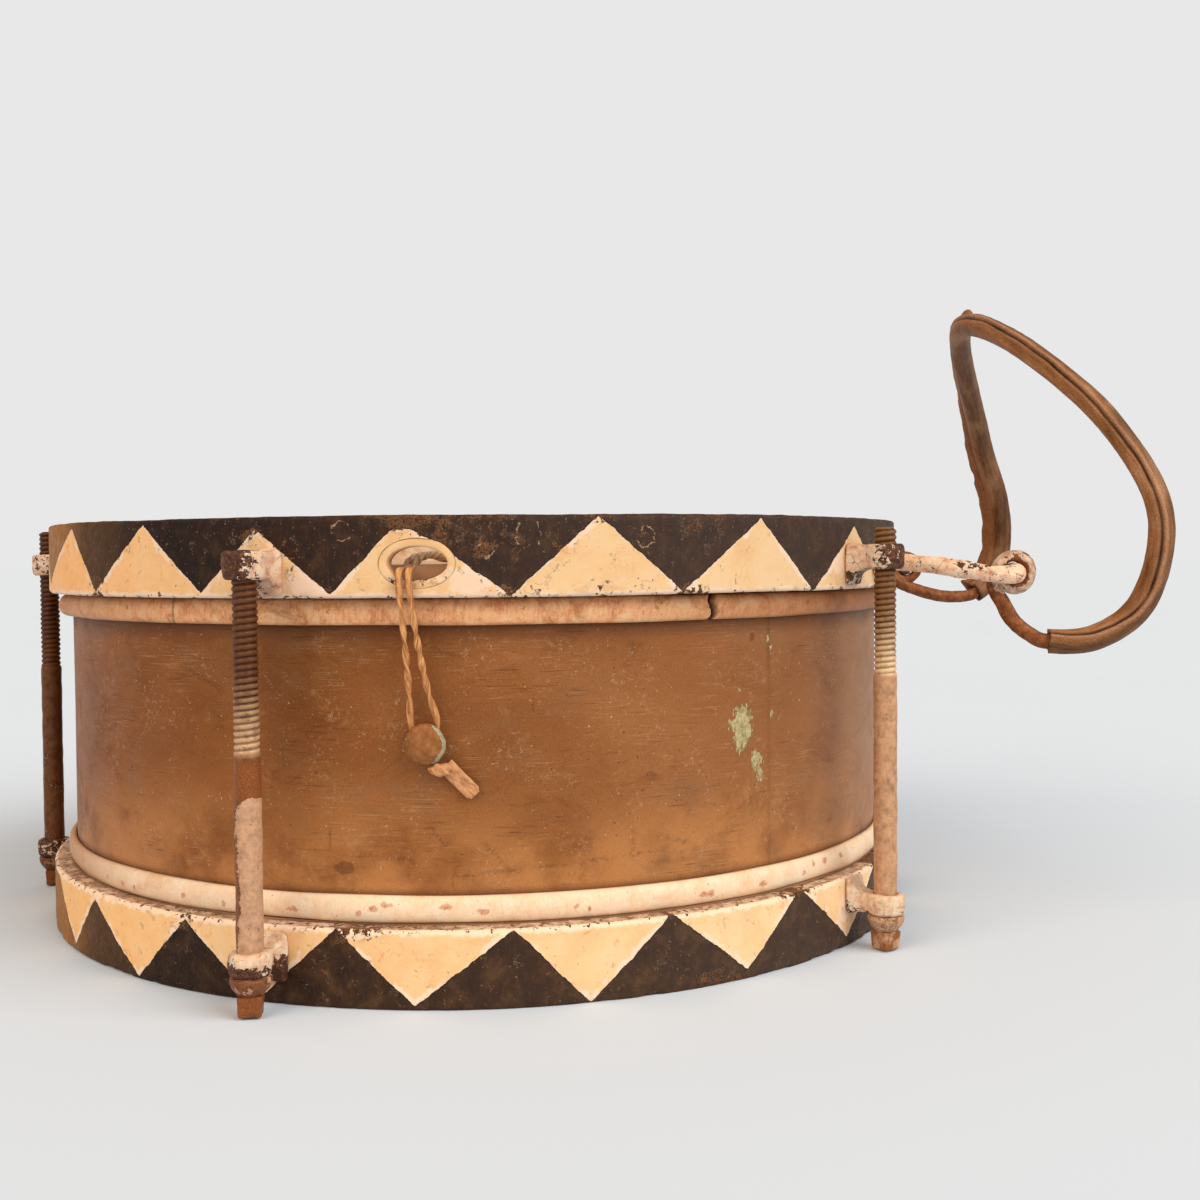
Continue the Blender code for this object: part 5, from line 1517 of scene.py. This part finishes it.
def make_sleeve():
    """Leather sewn round the wire: the seam's pressed lips follow the outer side of the bend,
    with a dark line of painted shade in the slit between them, and the leather is creased along
    its length. On the rear leg the outer lip widens to a ragged flange."""
    route = leg_rest_route()[5 * STEPS:-5 * STEPS]
    share, length = shares(route)
    angle = full_turn(72)
    tangent = unit(np.gradient(route, axis=0))
    away = route - (0.2450, 0.0, 0.1700)
    away[:, 1] *= 0.55
    away -= tangent * (away * tangent).sum(axis=1)[:, None]
    away = unit(away)
    across = np.cross(tangent, away)
    place = np.stack([share * length / 0.012, 0 * share, 0 * share], -1)
    sway = 0.5 * value_noise(place, 1.0, 61) + 0.25 * value_noise(place * 3, 1.0, 62)
    seam = np.interp(share, (0.0, 0.10, 0.30, 0.48, 0.56, 0.80, 1.0),
                     (-1.8, -0.85, -0.75, -0.5, -0.9, -1.9, -2.0)) + 0.16 * sway
    turn = (angle[None] - seam[:, None] + math.pi) % (2 * math.pi) - math.pi

    def wave(grain, turns, seed):
        spots = np.broadcast_arrays(share[:, None] * length / grain, np.cos(angle) * turns,
                                    np.sin(angle) * turns)
        return value_noise(np.stack(spots, -1).reshape(-1, 3), 1.0, seed).reshape(turn.shape)

    flange = (0.15 * rise(0.55, 0.62, share) + 0.85 * rise(0.62, 0.95, share))[:, None]
    lip = (bell(turn - 0.28, 0.17) + 0.40 * bell(turn + 0.24, 0.15))
    lip = lip * (1.0 + 0.5 * wave(0.004, 1.0, 66)) * (1.0 - 0.8 * flange)
    slit = bell(turn, 0.08) * (1.0 + 0.4 * wave(0.006, 1.0, 67)) * (1.0 - 0.8 * flange)
    torn = np.clip(1.0 + 0.5 * wave(0.0050, 1.0, 68), 0.0, 1.6)
    blade = (0.5 * bell(turn - 0.40, 0.18) * torn + 0.5 * bell(turn - 0.45, 0.60)) * flange
    nub = bell(share - 0.535, 0.006)[:, None] * bell(turn - 1.2, 0.5)
    radius = (0.0050 + 0.00034 * wave(0.022, 1.0, 63) + 0.00022 * wave(0.040, 4.0, 64)
              + 0.00012 * wave(0.003, 6.0, 69) + 0.00075 * lip + 0.0058 * blade
              - 0.0010 * slit + 0.0028 * nub)
    notch = np.stack([np.cos(angle) * 2, np.sin(angle) * 2, 0 * angle], -1)
    ragged = 0.0009 * value_noise(notch, 1.0, 65)[:, None]
    outer = beside(route, away, across, radius * np.cos(angle), radius * np.sin(angle))
    for at in (0, -1):
        outer[at] += tangent[at] * ragged

    def bore(at, shift):
        """Ring of the sleeve's bore at one end, shifted along the wire."""
        return (route[at] + away[at] * (0.0034 * np.cos(angle))[:, None]
                + across[at] * (0.0034 * np.sin(angle))[:, None]
                + tangent[at] * (shift + ragged))[None]

    grey = np.where(share[:, None] < 0.5, rise(0.45, 0.9, turn),
                    rise(-0.4, -0.9, turn) + rise(1.9, 2.3, turn))
    points = np.concatenate([bore(0, 0.004), bore(0, 0.0), outer[:1], outer, outer[-1:],
                             bore(-1, 0.0), bore(-1, -0.004)])
    rows = np.concatenate([[0, 0, 0], np.arange(len(route)), [-1, -1, -1]])
    # painted shade inside the sleeve's open ends
    cut = np.concatenate([[1.0, 1.0, 0.3], 0 * share, [0.3, 1.0, 1.0]])[:, None]
    values = {"along": share[rows][:, None] * length / MM,
              "around": 5.2 * turn[rows],
              "slit_shade": np.clip(slit[rows] * 0.95 + cut * 0.7, 0.0, 1.0),
              "lip": np.clip(lip[rows] * (1 - cut) * (1 - flange[rows]), 0.0, 1.0),
              "grey": grey[rows],
              "flange": np.clip(blade[rows] * 2.0 * (1 - cut), 0.0, 1.0)}
    piece("leg_rest_sleeve", grid_mesh(points, values=values), old_leather("old_leather"),
          "leg_rest")


def make_bracket(name, side, surface):
    """Forged bar of the leg rest's bearing: a plate on the hoop, a bar, and the bent pin."""
    places = smooth_route(np.array([(x, -side * y, z) for x, y, z in BRACKET_BAR]) * MM, 6)
    bar = grid_mesh(sweep(places, round_section(0.0035, 24, 0.10, 0.10, 7))[0])
    plate = box_mesh((FACE_OF_METAL, -0.0070, 0.1257), (FACE_OF_METAL + 0.0040, 0.0070, 0.1367),
                     0.0014)
    plate.transform(Matrix.Rotation(math.radians(side * (BRACKET_AZIMUTH - 90)), 4, "Z"))
    mesh = fused(joined(bar, plate), 0.0005, 3)
    roughen(mesh, (0.00016, 0.0040, 51), (0.00007, 0.0013, 52))
    x, y, z = read(mesh).T
    chips = 0.26 * rise(0.010, 0.004, np.abs(x - 0.2035)) * rise(0.1275, 0.1290, z)
    add_values(mesh, cover=(0.80 if side > 0 else 0.3) - chips)
    piece(name, mesh, surface)


make_wire()
make_sleeve()
bar_paint = painted_iron("bar_paint", 113.0, (276, 232, 190), (266, 206, 160))
make_bracket("leg_rest_bracket_front", 1, bar_paint)
make_bracket("leg_rest_bracket_rear", -1, bar_paint)


# Floor and light -----------------------------------------------------------------------------
def make_stage():
    """Pale floor, pale surroundings and two wide soft lights from the front."""
    mesh = bpy.data.meshes.new("floor")
    reach = 30.0
    mesh.from_pydata([(-reach, -reach, FLOOR_Z), (reach, -reach, FLOOR_Z),
                      (reach, reach, FLOOR_Z), (-reach, reach, FLOOR_Z)], [], [(0, 1, 2, 3)])
    paper = Surface("floor_paper", specular=0.0, roughness=0.9)
    mesh.materials.append(paper.done(paper.noise(400, 131, 2).tone(
        (0.4, 0.660, 0.750, 0.873, 1.0), (0.6, 0.666, 0.757, 0.880, 1.0))))
    floor = bpy.data.objects.new("floor_visual", mesh)
    bpy.context.scene.collection.objects.link(floor)
    world = bpy.data.worlds.new("studio")
    bpy.context.scene.world = world
    world.use_nodes = True
    tree = world.node_tree
    shown = tree.nodes["Background"]
    shown.inputs["Color"].default_value = (0.807, 0.807, 0.807, 1.0)
    lighting = tree.nodes.new("ShaderNodeBackground")
    lighting.inputs["Color"].default_value = (1.0, 0.90, 0.79, 1.0)
    lighting.inputs["Strength"].default_value = 0.52
    path = tree.nodes.new("ShaderNodeLightPath")
    mix = tree.nodes.new("ShaderNodeMixShader")
    for output, socket in ((path.outputs["Is Camera Ray"], mix.inputs[0]),
                           (lighting.outputs[0], mix.inputs[1]),
                           (shown.outputs[0], mix.inputs[2]),
                           (mix.outputs[0], tree.nodes["World Output"].inputs["Surface"])):
        tree.links.new(output, socket)
    for name, azimuth, elevation, strength, spread, colour in (
            ("key", 56.0, 38.0, 2.1, 50.0, (1.0, 0.94, 0.85)),
            ("fill", -40.0, 36.0, 1.4, 44.0, (1.0, 0.80, 0.60))):
        data = bpy.data.lights.new(name, "SUN")
        data.energy = strength
        data.color = colour
        data.angle = math.radians(spread)
        light = bpy.data.objects.new(name, data)
        bpy.context.scene.collection.objects.link(light)
        a, e = math.radians(azimuth), math.radians(elevation)
        back = Vector((math.sin(a) * math.cos(e), -math.cos(a) * math.cos(e), math.sin(e)))
        light.rotation_euler = back.to_track_quat("Z", "Y").to_euler()
    bpy.context.scene.view_settings.view_transform = "Standard"


make_stage()
